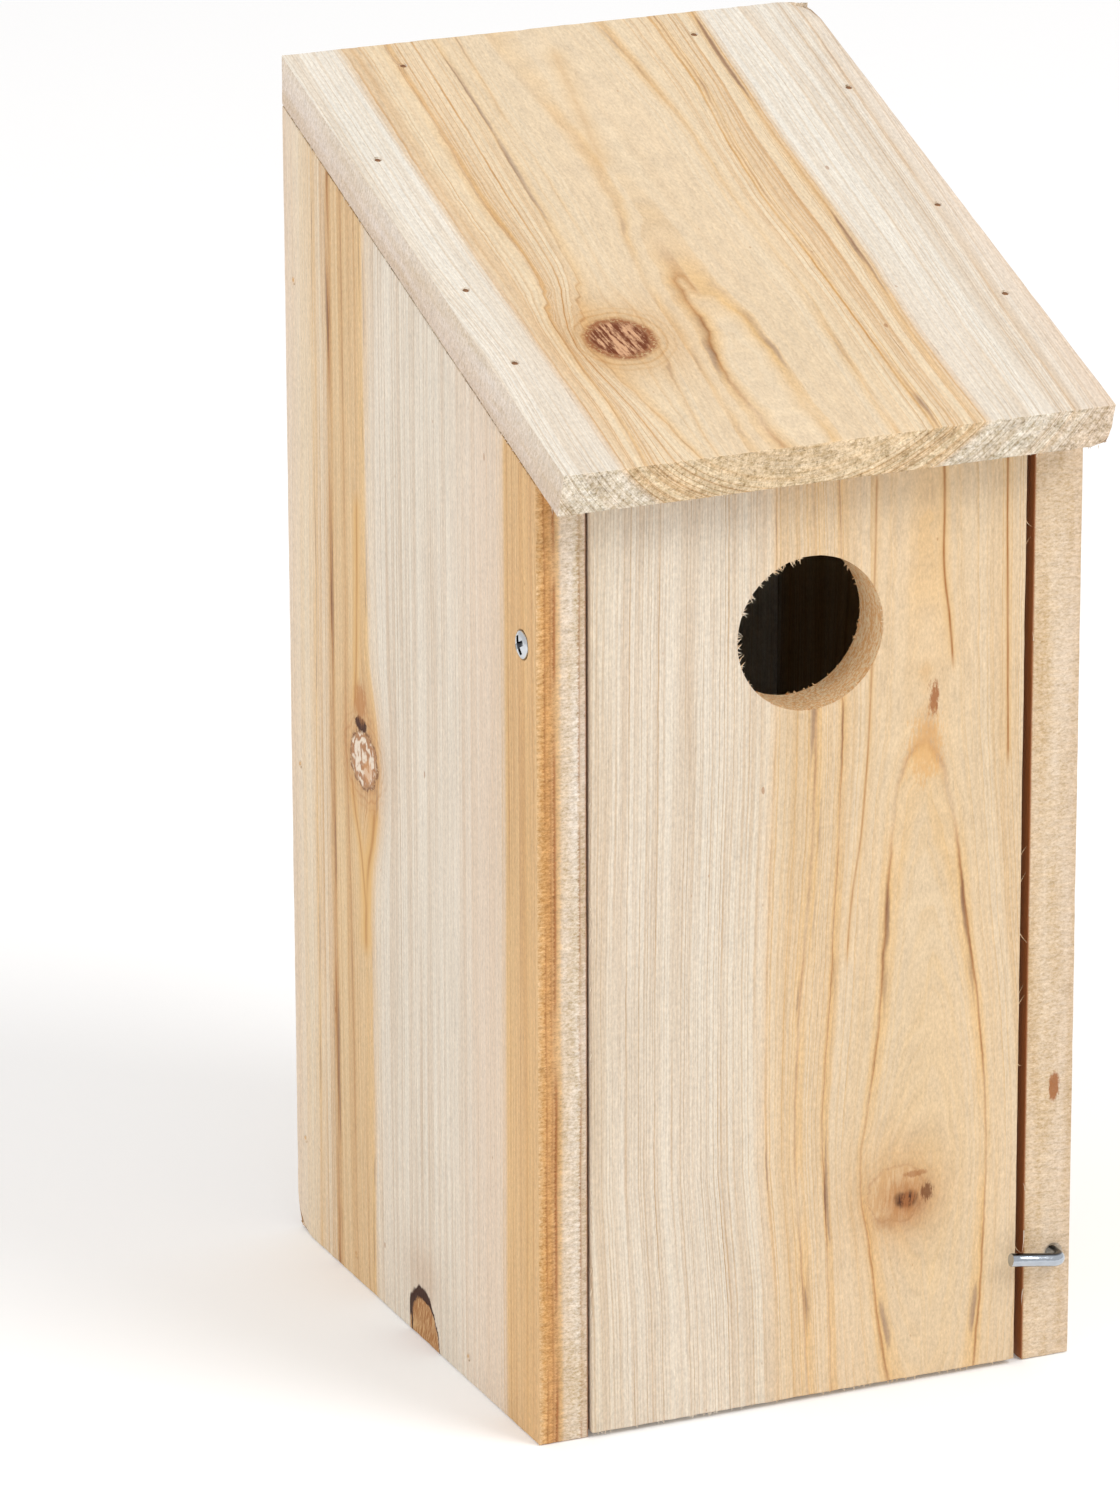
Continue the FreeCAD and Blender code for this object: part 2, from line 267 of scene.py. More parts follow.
def paint_knot(g, colour, height, u, v, knot):
    """A knot: a warm halo with fine rings, a streaked body and a broken dark outline."""
    reach = knot_distance(g, u, v, knot)
    halo = g.bell((u - knot["u"]) / (knot["size"][0] * 1.7), (v - knot["v"]) / (knot["size"][1] * 2.0))
    colour = g.mix(halo * knot["glow"], colour, knot["halo"], "MULTIPLY")
    ripple = g.math("SINE", reach * 24.0) * 0.5 + 0.5
    ripple = ripple ** 3.0 * g.bell((reach - 1.35) / 0.35) * knot["ripple"]
    colour = g.mix(ripple, colour, knot["halo"], "MULTIPLY")
    lean = knot["lean"]
    along, across = v * math.cos(lean) + u * math.sin(lean), u * math.cos(lean) - v * math.sin(lean)
    streak = g.noise(across * 1.25, along * 0.16, knot["u"], 3, 0.7)
    speck = g.noise(u * 1.4, v * 1.4, knot["u"] + 4.0, 3, 0.7)
    if "whorl" in knot:
        wavy = g.noise(u * 0.45, v * 0.35, knot["u"] + 9.0, 2)
        whorl = g.math("SINE", reach * 13.0 + wavy * 14.0) * 0.16 + 0.54
        streak = streak * (1.0 - knot["whorl"]) + whorl * knot["whorl"]
    body = g.mix(g.step(streak * 0.8 + speck * 0.2, 0.44, 0.60), knot["dark"], knot["pale"])
    inside = 1.0 - g.step(reach, 1.02 - knot.get("soft", 0.22), 1.02)
    colour = g.mix(inside * knot["body"], colour, body)
    bark = g.bell((reach - 0.97) / knot["bark_width"]) * g.step(speck, 0.36, 0.52) * knot["bark"]
    colour = g.mix(bark, colour, knot["bark_colour"])
    return colour, height - bark * 0.8 + inside * (streak - 0.5) * 1.2


def paint_hollow(g, colour, height, place, mark):
    """A small ragged hollow or stain, drawn out along the grain; an edge one lies on a narrow face."""
    u, v, w, edge = place
    across, mask = (w, edge) if mark["edge"] else (u, 1.0)
    ragged = g.cloud(across * 1.9, v * 0.35, mark["u"], 3, 0.75)
    crumbs = g.cloud(across * 1.2, v * 1.2, mark["u"] + 5.0, 3, 0.7)
    reach = g.bell(*off_middle(across, v, mark))
    hole = g.step(reach + ragged * mark["ragged"] + crumbs * 0.4, 0.40, 0.40 + mark["soft"])
    hole = hole * g.step(reach, 0.05, 0.25) * mark["strength"] * mask
    return g.mix(hole, colour, mark["colour"]), height - hole * mark["deep"]


def paint_arch_knot(g, colour, height, u, v, knot):
    """Half of a loose knot, cut by the board's end: a dark arch of bark round a tan core."""
    du, dv = off_middle(u, v, knot)
    uneven = g.cloud(u * 0.5, v * 0.4, 1.0, 3)
    reach = g.length(du, dv) + uneven * 0.22
    core = g.noise(u * 1.6 - v * 0.5, v * 0.25, 6.0, 3, 0.7)
    body = g.mix(g.step(core, 0.42, 0.64), knot["dark"], knot["pale"])
    straight = g.step(u, knot["cut"] - 0.3, knot["cut"] + 0.5)
    inside = (1.0 - g.step(reach, 0.86, 0.98)) * straight
    colour = g.mix(inside, colour, body)
    heavy = g.step(dv * 1.0 - du * 0.7, 0.25, 1.0)
    rim = g.bell((reach - 0.93) / (heavy * 0.09 + 0.03)) * straight * g.step(core + heavy * 0.3, 0.36, 0.5)
    seam = g.bell((u - knot["cut"] - 1.2 + uneven * 1.4) / 0.5) * (1.0 - g.step(reach, 0.9, 1.0))
    mark = g.math("MAXIMUM", rim, seam * 0.9)
    colour = g.mix(g.step(mark, 0.25, 0.7), colour, knot["bark_colour"])
    smoke = g.bell(du / 0.9, (dv - 1.25) / 0.55) * 0.35
    colour = g.mix(smoke, colour, knot["smoke"], "MULTIPLY")
    return colour, height - mark * 2.0


def paint_line(g, colour, height, u, v, stroke):
    """One short dark or resinous stroke, drawn through a few (v, u) places along the board."""
    places = sorted(stroke["path"])
    start, end = places[0][0], places[-1][0]
    widths = [place[1] for place in places]
    low, high = min(widths) - 1.0, max(widths) + 1.0
    node = g.add("ShaderNodeFloatCurve", {"Value": (v - start) / (end - start)})
    points = node.mapping.curves[0].points
    points[0].location = (0.0, (widths[0] - low) / (high - low))
    points[1].location = (1.0, (widths[-1] - low) / (high - low))
    for place, width in places[1:-1]:
        points.new((place - start) / (end - start), (width - low) / (high - low))
    node.mapping.update()
    middle = g.out(node) * (high - low) + low
    fibres = g.noise(u * 2.2, v * 0.15, start, 2)
    aside = (u - middle) / stroke["width"]
    inside = g.step(v, start, start + 6.0) * (1.0 - g.step(v, end - 6.0, end)) * (fibres + 0.5)
    colour = g.mix(g.bell(aside * 0.25) * inside * stroke["glow"], colour, AMBER)
    core = g.bell(aside) * inside * stroke["strength"]
    return g.mix(core, colour, GRAIN_BROWN), height


class Grain:
    """How the growth rings run through a board.

    The rings are round a pith line at (u, w). The pith's depth changes along the board, which gives the
    pointed arches of flat-sawn wood, and each measured line of the look is held at one ring of its own.
    """

    def __init__(self, look):
        self.look = look
        self.middle, self.pith_depth = look["pith"]
        self.arch = sorted(look.get("arch", ()))
        self.crest = math.hypot(max((half for v, half in self.arch), default=0.0), self.pith_depth)
        self.lines = {-1: [], 1: []}
        for line in look.get("lines", ()):
            path = sorted(line["path"])
            centre = path[len(path) // 2]
            side = 1 if centre[1] > self.middle else -1
            rank = line["ring"] or self.raw(path[0][1], path[0][0], 0.0)
            self.lines[side].append((rank, path, line))
        for side in self.lines:
            self.lines[side].sort(key=lambda entry: entry[0])

    def depth(self, v):
        """How far the pith is from the face at v."""
        if not self.arch:
            return self.pith_depth
        half = interpolate(v, self.arch)
        beyond = max(self.arch[0][0] - v, v - self.arch[-1][0], 0.0)
        sinks = beyond * 0.012 if half <= 0.0 else 0.0
        return math.sqrt(self.crest ** 2 - half ** 2) + sinks

    def raw(self, u, v, w):
        """Distance from the pith, before the measured lines are brought to their rings."""
        for knot in self.look.get("knots", ()):
            aside, along = u - knot["u"], v - knot["v"]
            near = math.exp(-(aside / knot["spread"][0]) ** 2 - (along / knot["spread"][1]) ** 2)
            u = u - aside * near * knot["push"]
        return math.hypot(u - self.middle, self.depth(v) - w)

    def ring(self, u, v, w):
        """The ring at a place: a smooth number, in millimetres of radius."""
        wander = noise.noise(Vector((u * 0.03, v * 0.012, self.look["seed"]))) * self.look["wander"]
        value = self.raw(u, v, w) + wander * min(1.0, abs(u - self.middle) / 20.0)
        found, wanted = [0.0], [0.0]
        for rank, path, line in self.lines[1 if u > self.middle else -1]:
            place = interpolate(v, path)
            held = min(1.0, max(0.0, 1.0 - max(path[0][0] - v, v - path[-1][0]) / 10.0))
            here = rank + (self.raw(place, v, 0.0) - rank) * held
            found.append(max(here, found[-1] + 0.02))
            wanted.append(rank)
        if value >= found[-1]:
            return wanted[-1] + value - found[-1]
        return interpolate(value, list(zip(found, wanted)))


def interpolate(value, points):
    """Straight lines between (place, height) points, level beyond the ends."""
    if value <= points[0][0]:
        return points[0][1]
    for (left, low), (right, high) in zip(points, points[1:]):
        if value <= right:
            return low + (high - low) * (value - left) / (right - left)
    return points[-1][1]


def line_colours(g, ring, grain, side):
    """The measured lines of one side of the pith as a colour and how strong it is."""
    stops = [(0.0, AMBER, 0.0)]
    for rank, path, line in grain.lines[side]:
        if not line["strength"]:
            continue
        v, u = path[len(path) // 2]
        slope = max(0.16, abs(grain.raw(u + 0.5, v, 0.0) - grain.raw(u - 0.5, v, 0.0)))
        width = line["width"] * slope
        glow, strength = line["glow"] * 0.55, min(1.0, line["strength"] * 1.3)
        for place, colour, weight in ((-3.6, AMBER, 0.0), (-0.55, AMBER, glow), (0.0, GRAIN_BROWN, strength),
                                      (0.55, AMBER, glow * 0.8), (2.6, AMBER, 0.0)):
            stops.append((max(rank + place * width, stops[-1][0] + 0.001), colour, weight))
    far = stops[-1][0] + 1.0
    node = g.ramp(ring / far, [(place / far, (*colour[:3], weight)) for place, colour, weight in stops])
    return g.out(node, "Color"), g.out(node, "Alpha")


def wood(name, look, frame_of):
    """Planed softwood: growth rings, measured lines, knots, fibres and open end grain."""
    g = Graph(name)
    u, v, w = g.board_mm()
    nu, nv, nw = g.board_normal(frame_of)
    seed = look["seed"]
    grain = Grain(look)
    tones = look["early"], look["late"]
    if "width_tones" in look:
        tones = [[(*(grain.raw(place, 0.0, 0.0) for place in places), tone) for *places, tone in row]
                 for row in tones]

    attribute = g.add("ShaderNodeAttribute", attribute_name="ring")
    tremble = g.cloud(u * 0.10, v * 0.16, seed, 3)
    ring = g.out(attribute, "Fac") + tremble * look["tremble"]

    early_colour, late_colour = (g.bands(ring, row) for row in tones)
    lines = 0.0
    for number, (spacing, weight, low) in enumerate(look["rings"]):
        uneven = g.cloud(ring / spacing * 0.45, seed, number, 2) * 2.4
        turns = ring / spacing + uneven
        whole = g.math("FLOOR", turns)
        part = turns - whole
        latewood = g.step(part, low, 0.93) * (1.0 - g.step(part, 0.95, 1.0))
        strong = g.random(whole + seed * 13.0 + number * 71.0)
        run = g.step(g.noise(whole * 3.7, v * 0.016, seed + number, 2), 0.22, 0.62)
        lines = g.math("MAXIMUM", latewood * (strong ** 1.3 * 0.85 + 0.15) * run * weight, lines)
    hair = g.step(g.noise(ring * 1.9, v * 0.010, seed, 2), 0.50, 0.72)
    band = g.step(g.noise(ring * 0.42, v * 0.005, seed, 2), 0.42, 0.66)
    colour = g.mix(band * look["band"], early_colour, late_colour)
    colour = g.mix(g.math("MAXIMUM", lines, hair * look["hair"]), colour, late_colour)

    run = g.noise(ring * 0.6, v * 0.030, seed + 31.0, 2)
    fade = g.step(run, 0.30, 0.60) * 0.80 + 0.20
    dark = g.step(run, 0.55, 0.66)
    right = g.step(u, look["pith"][0] - 0.5, look["pith"][0] + 0.5)
    for side, share in ((-1, 1.0 - right), (1, right)):
        if grain.lines[side]:
            paint, weight = line_colours(g, ring, grain, side)
            weight = weight * share * fade * (1.0 - g.step(nv, 0.55, 0.85) * 0.65)
            paint = g.mix(dark * g.step(weight, 0.22, 0.42), paint, RESIN)
            colour = g.mix(weight, colour, paint)

    streak = g.noise(ring * 1.3, v * 0.045, seed + 8.0, 1)
    dash = g.step(streak, 0.70, 0.80) * g.step(lines, 0.15, 0.6)
    colour = g.mix(dash * look["dashes"], colour, RESIN)

    blotch = g.cloud(u * 0.06, v * 0.02, seed + 2.0, 3)
    fibre = g.cloud(ring * 2.4, v * 0.16, w * 2.4 + seed, 3, 0.65)
    fuzz = g.cloud(u * 2.0, v * 0.9, w * 2.0 + seed, 2, 0.7)
    fleck = g.step(g.noise(u * 2.8, v * 0.30, w * 2.8 + seed, 1), 0.66, 0.80)
    shade = 1.02 + blotch * 0.10 + fibre * 0.42 + fuzz * 0.55 - fleck * 0.11
    colour = g.tint(colour, shade + blotch * 0.02, shade, shade - fibre * 0.04)
    speck = g.step(g.noise(u * 0.5, v * 0.25, seed + 21.0, 0), 0.87, 0.90)
    colour = g.mix(speck * 0.5, colour, GRAIN_BROWN)
    height = fibre * 0.7 + fuzz * 0.5 - lines * 0.25 - fleck * 0.3

    for marks, paint in (("strokes", paint_line), ("knots", paint_knot), ("arch_knots", paint_arch_knot)):
        for mark in look.get(marks, ()):
            colour, height = paint(g, colour, height, u, v, mark)

    colour, height = rough_edge(g, look, colour, height, (u, v, w), nu)
    colour, height = end_grain(g, colour, height, (u, v, w), nv, lines)
    edge = g.step(nu, 0.55, 0.85)
    for mark in look.get("hollows", ()):
        colour, height = paint_hollow(g, colour, height, (u, v, w, edge), mark)
    # The bore's wall is painted paler and warmer than the face: partly its own tan end grain, partly painted
    # light that makes up for the shade inside the hole.
    if "bore" in look:
        bore_u, bore_v, radius = look["bore"]
        away = g.length((u - bore_u) / radius, (v - bore_v) / radius)
        within = 1.0 - g.step(away, 1.01, 1.04)
        wall = within * (1.0 - g.step(nw, 0.5, 0.8))
        tone = g.mix(g.step(fibre + fuzz, -0.14, 0.14), rgb(238, 180, 118), rgb(255, 230, 188))
        colour = g.mix(wall * 0.9, colour, tone)
    # Painted shade: a strip of the inner face near the front edge, which hardly gets light, is darkened
    # towards SHADE.
    if "shaded" in look:
        place, reach = look["shaded"]
        inner = g.step(w * -1.0, BOARD - 0.6, BOARD - 0.1) * g.bell((u - place) / reach)
        colour = g.mix(inner, colour, SHADE)

    return g.finish(Normal=g.bump(height, 0.55, 0.16), Base_Color=colour, Specular_IOR_Level=0.22,
                    Roughness=0.66 + fibre * 0.12 + fleck * 0.1)


def rough_edge(g, look, colour, height, place, across):
    """The narrow long faces are sawn, not planed: short torn fibres over their own bands of colour."""
    u, v, w = place
    torn_amount = look["torn"]
    mask = g.step(across, 0.55, 0.85)
    torn = g.cloud(w * 1.3, v * 2.1, u * 0.2 + look["seed"], 3, 0.75)
    saw = g.cloud(w * 0.25, v * 1.0, 4.0, 3, 0.7)
    patch = g.cloud(w * 0.30, v * 0.030, look["seed"] + 3.0, 3)
    if "edge" in look:
        wavy = w + g.cloud(v * 0.012, look["seed"], 2.0, 2) * look["edge_wander"]
        ragged = wavy + torn * torn_amount * 2.0
        colour = g.mix(mask, colour, g.bands(ragged, look["edge"]))
        for place, half, strength, seed in look.get("edge_lines", ()):
            run = g.step(g.noise(v * 0.028, seed, 7.0, 2), 0.38, 0.52)
            stroke = g.bell((wavy + torn * 0.9 - place) / half) * run * mask * strength
            colour = g.mix(stroke, colour, EDGE_BROWN)
    shade = 1.0 + (torn * 1.6 + saw * 0.8 + patch * 0.7) * mask * torn_amount
    tint = (torn * 1.3 + patch) * mask * torn_amount * 0.5
    colour = g.tint(colour, shade - tint * 0.5, shade, shade + tint)
    return colour, height + (torn * 2.4 + saw * 0.8) * mask * torn_amount * 2.2


def end_grain(g, colour, height, place, along, lines):
    """Across the grain the pores are open: darker, coarser, with the rings standing out."""
    u, v, w = place
    mask = g.step(along, 0.55, 0.85)
    pores = g.cloud(u * 1.0, v * 1.0, w * 1.0, 3, 0.8)
    pits = g.step(g.noise(u * 1.1, v * 1.1, w * 1.1 + 7.0, 3, 0.8), 0.55, 0.64)
    patch = g.cloud(u * 0.16, w * 0.30, v * 0.2 + 3.0, 2)
    shade = 1.0 - mask * (0.04 + pits * 0.22 + lines * 0.30) + (pores * 1.6 + patch * 0.6) * mask
    colour = g.tint(colour, shade + mask * 0.01, shade - mask * 0.02 + pores * mask * 0.2,
                    shade - mask * 0.08 + pores * mask * 0.6)
    return colour, height + (pores * 3.0 - pits * 2.0 + lines * 0.5) * mask


# Colours of planed softwood, from the palest sapwood to resin, and SHADE, a painted shade for inner faces
# that hardly get light.
SAPWOOD = rgb(239, 232, 219)
SAPWOOD_LINE = rgb(200, 168, 130)
CREAM = rgb(232, 211, 180)
TAN = rgb(231, 208, 176)
TAN_LINE = rgb(210, 170, 118)
GOLD = rgb(224, 191, 146)
GOLD_LINE = rgb(200, 148, 86)
PINK = rgb(232, 214, 194)
PINK_LINE = rgb(214, 184, 152)
AMBER = rgb(230, 186, 122)
GRAIN_BROWN = rgb(160, 98, 40)
EDGE_BROWN = rgb(160, 94, 44)
RESIN = rgb(112, 56, 20)
SHADE = rgb(168, 104, 60)

# A look says what one board is like. seed picks its random patterns. pith is the (u, depth) of the line
# that its rings lie round, wander how far they stray, and arch the half-width of a pointed arch at each
# v. early and late are the colours of the soft and the hard part of a ring, by its radius or, with
# width_tones, by u. rings holds sets of fine rings: spacing, weight and how soft their start is. band,
# hair and dashes are how strong the broad, the finest and the resinous streaks are. On the narrow faces
# edge gives colours by depth w, torn the roughness, and edge_lines strokes: depth, half width, strength,
# seed. shaded is the (u, reach) of a strip of the inner face that hardly gets light, where painted
# shade darkens the wood.


def line(path, glow=0, strength=0, width=0, ring=None):
    """A grain line through (v, u) places: its amber glow, brown core and width, and the ring it follows."""
    return dict(path=path, glow=glow, strength=strength, width=width, ring=ring)


def hollow(u, v, size, colour, strength, soft=0.4, ragged=1, deep=0.1, edge=False):
    """A stain or a hollow: its (u, v) size, how soft and ragged its outline is and how deep it is."""
    return dict(u=u, v=v, size=size, soft=soft, strength=strength, deep=deep, ragged=ragged, edge=edge,
                colour=rgb(*colour))


PLAIN_KNOT = dict(push=0.7, uneven=0.25, body=1, halo=rgb(236, 200, 148), glow=0.7, ripple=0.5, lean=0.3,
                  bark=0.6, bark_width=0.08)
PLAIN_LOOK = dict(tremble=0.3, edge_wander=2, rings=((1.9, 0.9, 0.7), (0.8, 0.5, 0.55)), band=0.3, hair=0.3)

ROOF_LOOK = dict(
    seed=3, wander=1, tremble=0.35, pith=(-8, 30),
    arch=[(-154, 7), (-137, 6.5), (-125, 6.5), (-113, 5.5), (-105, 3.5), (-96, 2.5), (-90, 1.5),
          (-83, 0)],
    rings=((1.15, 1, 0.72), (0.55, 0.7, 0.55)), band=0.35, hair=0.35, dashes=0.85,
    early=[(29, 36, CREAM), (39, 49.2, rgb(236, 216, 184)), (50.6, 64, SAPWOOD), (72, 80, PINK)],
    late=[(29, rgb(226, 199, 163)), (37.5, rgb(226, 197, 158)), (39.5, 49.6, GOLD_LINE),
          (51, rgb(220, 200, 174)), (64, SAPWOOD_LINE), (80, PINK_LINE)],
    torn=0.75, edge_wander=2,
    edge=[(-10, rgb(216, 194, 172)), (-6, rgb(228, 210, 192)), (0, rgb(230, 214, 194))],
    knots=[
        dict(u=-30.4, v=-111.8, size=(6.9, 6.6), spread=(13, 22), push=0.66, uneven=0.2,
             dark=rgb(116, 58, 26), pale=rgb(222, 172, 132), body=1, halo=rgb(240, 204, 142),
             glow=0.75, ripple=0.35, lean=-0.12, bark=0.85, bark_width=0.13,
             bark_colour=rgb(150, 82, 40)),
    ],
    lines=[
        line([(-154, -0.5), (-142, -1.5), (-120, -1), (-108, -1.5), (-100, -5), (-90, -6.5), (-83, -8)],
              1.5, 0.85, 0.7, ring=30.76),
        line([(-154, -14), (-137, -14.5), (-125, -14.5), (-113, -12), (-96, -11.5), (-83, -8)], 1.5, 0.85,
              0.7, ring=30.76),
        line([(-154, -20.5), (-125, -19.5), (-91, -17.5), (-78, -14.5), (-66, -11), (-57, -10.5),
              (-48, -10), (-38, -11), (-18, -13.5), (0, -15)], 0.9, 0.4, 0.9, ring=31.8),
        line([(-93, -25), (-76, -23.5), (-55, -22), (-31, -22.5), (0, -21)], 0.6, 0.5, 0.5),
        line([(-154, -31), (-125, -37), (-112, -39.5), (-100, -35.5), (-87, -30.5), (-68, -29),
              (-40, -27.5), (0, -26.5)], 0.8, 0.65, 0.5),
        line([(-154, -43), (-134, -41.5), (-120, -42.5), (-104, -42), (-92, -38.5), (-78, -38),
              (-58, -38.5), (0, -36.5)], 1, 0.8, 0.55),
        line([(-154, -47.5), (-80, -48.5), (0, -47.5)], ring=49.9),
        line([(-154, 12.5), (-128, 14), (-104, 15), (-87, 14), (-70, 13.5), (-40, 14.5), (-17, 13.5),
              (0, 12.5)], 1, 0.85, 0.55),
        line([(-154, 21.5), (-120, 22), (-90, 21.5), (-71, 20.5), (-48, 21.5), (-27, 24.5), (0, 25)], 1,
              0.55, 0.6),
        line([(-154, 30.5), (-122, 30), (-96, 31), (-48, 31), (0, 33)], 0.9, 0.7, 0.45),
        line([(-154, 41), (-63, 43), (-34, 44.5), (0, 44)], 0.2, 0.35, 0.35),
        line([(-154, 50.5), (-114, 51.5), (-70, 54), (-31, 55.5), (0, 56.5)], 0.4, 0.6, 0.4),
    ],
    strokes=[
        line([(-56, -10), (-30, -5.5), (-6, -2)], 0.3, 0.1, 0.6),
    ],
)
LEFT_LOOK = dict(
    seed=11, wander=0.5, tremble=0.16, pith=(-700, 240), width_tones=True,
    rings=((1.2, 1, 0.78), (0.5, 0.8, 0.6)), band=0.3, hair=0.4, dashes=0.25, shaded=(58, 6),
    early=[(-73, PINK), (-64, rgb(230, 213, 188)), (-50, rgb(229, 209, 180)), (-48.6, rgb(227, 199, 158)),
           (-28.2, rgb(226, 197, 155)), (-26.8, 14, rgb(231, 221, 205)), (30, rgb(229, 212, 193)),
           (41.5, rgb(226, 208, 188)), (43, rgb(224, 189, 141)), (62, rgb(223, 185, 136))],
    late=[(-73, PINK_LINE), (-64, GOLD), (-56, GOLD_LINE), (-48.5, -28.5, rgb(184, 128, 68)),
          (-27, 14, rgb(190, 156, 120)), (30, 41.5, PINK_LINE), (42.5, 62, rgb(178, 120, 62))],
    torn=1, edge_wander=2.2,
    edge=[(-11, rgb(226, 206, 184)), (-9.4, rgb(218, 194, 166)), (-8.6, rgb(231, 214, 192)),
          (-5.6, rgb(229, 206, 178)), (-4.8, rgb(222, 182, 132)), (-2.6, rgb(214, 160, 100)),
          (-1.2, rgb(222, 172, 112)), (0, rgb(226, 188, 140))],
    edge_lines=[(-3.9, 0.36, 0.8, 1), (-3.1, 0.24, 0.4, 5), (-1.9, 0.22, 0.5, 9), (-9.3, 0.2, 0.5, 14)],
    knots=[
        dict(u=-31.4, v=119, size=(7.4, 6.4), spread=(8, 22), push=0.6, uneven=0.5,
             dark=rgb(176, 126, 88), pale=rgb(240, 224, 204), body=0.95, whorl=0.75,
             halo=rgb(236, 186, 122), glow=0.5, ripple=0.3, lean=0.5, bark=0.9, bark_width=0.07,
             bark_colour=rgb(128, 84, 52)),
    ],
    arch_knots=[
        dict(u=-2.2, v=-2, size=(9.4, 13.4), cut=-9.6, dark=rgb(170, 116, 66), pale=rgb(214, 174, 124),
             bark_colour=rgb(64, 32, 16), smoke=rgb(226, 190, 160)),
    ],
    hollows=[
        hollow(-33, 126.4, (3.6, 1.7), (74, 40, 22), 1, soft=0.15, ragged=0.7, deep=3),
        hollow(-33.2, 131, (4.2, 5.5), (188, 128, 74), 0.75, ragged=1.2, deep=0.5),
        hollow(-29.6, 117, (3, 3.4), (216, 160, 108), 0.6, soft=0.3, deep=0.4),
    ],
    lines=[
        line([(0, -57.5), (120, -57), (249, -56)], 0.8, 0.25, 0.7),
        line([(0, -48), (80, -48.5), (160, -48.5), (249, -48)], 1.2, 0.7, 0.7),
        line([(0, -38), (88, -39.5), (108, -40.5), (120, -41.5), (150, -41), (249, -41)], 1, 0.22, 0.6),
        line([(0, -27), (60, -27.5), (85, -28), (98, -27), (108, -23.5), (119, -22), (130, -23.5),
              (142, -27.5), (165, -28.5), (249, -29.5)], 1, 0.6, 0.9),
        line([(0, -14), (249, -14)]),
        line([(0, 42.5), (120, 43), (249, 43)], 1, 0.75, 0.7),
        line([(0, 54.5), (60, 55), (160, 54), (249, 53.5)], 0.9, 0.65, 0.5),
    ],
    strokes=[
        line([(74, -31.5), (92, -30.5), (104, -27), (113, -25.5)], 0.9, 0.5, 0.8),
        line([(84, -31), (98, -33.5), (108, -37), (116, -38.5)], 0.8, 0.45, 0.5),
        line([(126, -37.5), (136, -35.5), (152, -34.5), (178, -34)], 0.8, 0.45, 0.5),
    ],
)
RIGHT_LOOK = dict(
    PLAIN_LOOK, seed=23, wander=2, pith=(20, 22),
    arch=[(0, 9), (80, 12), (150, 0)],
    dashes=0.5,
    early=[(24, 36, TAN), (44, 50, CREAM), (54, 90, SAPWOOD)],
    late=[(24, TAN_LINE), (48, GOLD_LINE), (54, 90, SAPWOOD_LINE)],
    torn=0.8,
    edge=[(-11, rgb(224, 195, 158)), (-7, rgb(229, 204, 172)), (-3, rgb(227, 203, 174)),
          (0, rgb(221, 194, 162))],
    shaded=(-58, 7.5),
    hollows=[
        hollow(-4.4, 60, (1.5, 4), (168, 104, 56), 0.9, soft=0.3, ragged=0.9, deep=0.3, edge=True),
    ],
    knots=[
        dict(PLAIN_KNOT, u=34, v=72, size=(6, 7.5), spread=(11, 24), dark=rgb(140, 84, 46),
             pale=rgb(206, 156, 110), bark_colour=rgb(128, 76, 44)),
    ],
    lines=[
        line([(0, -8), (60, -6), (120, -7.5), (215, -5)], 0.8, 0.5, 0.5),
        line([(0, 46), (72, 50), (150, 47), (230, 48)], 0.8, 0.5, 0.5),
    ],
)
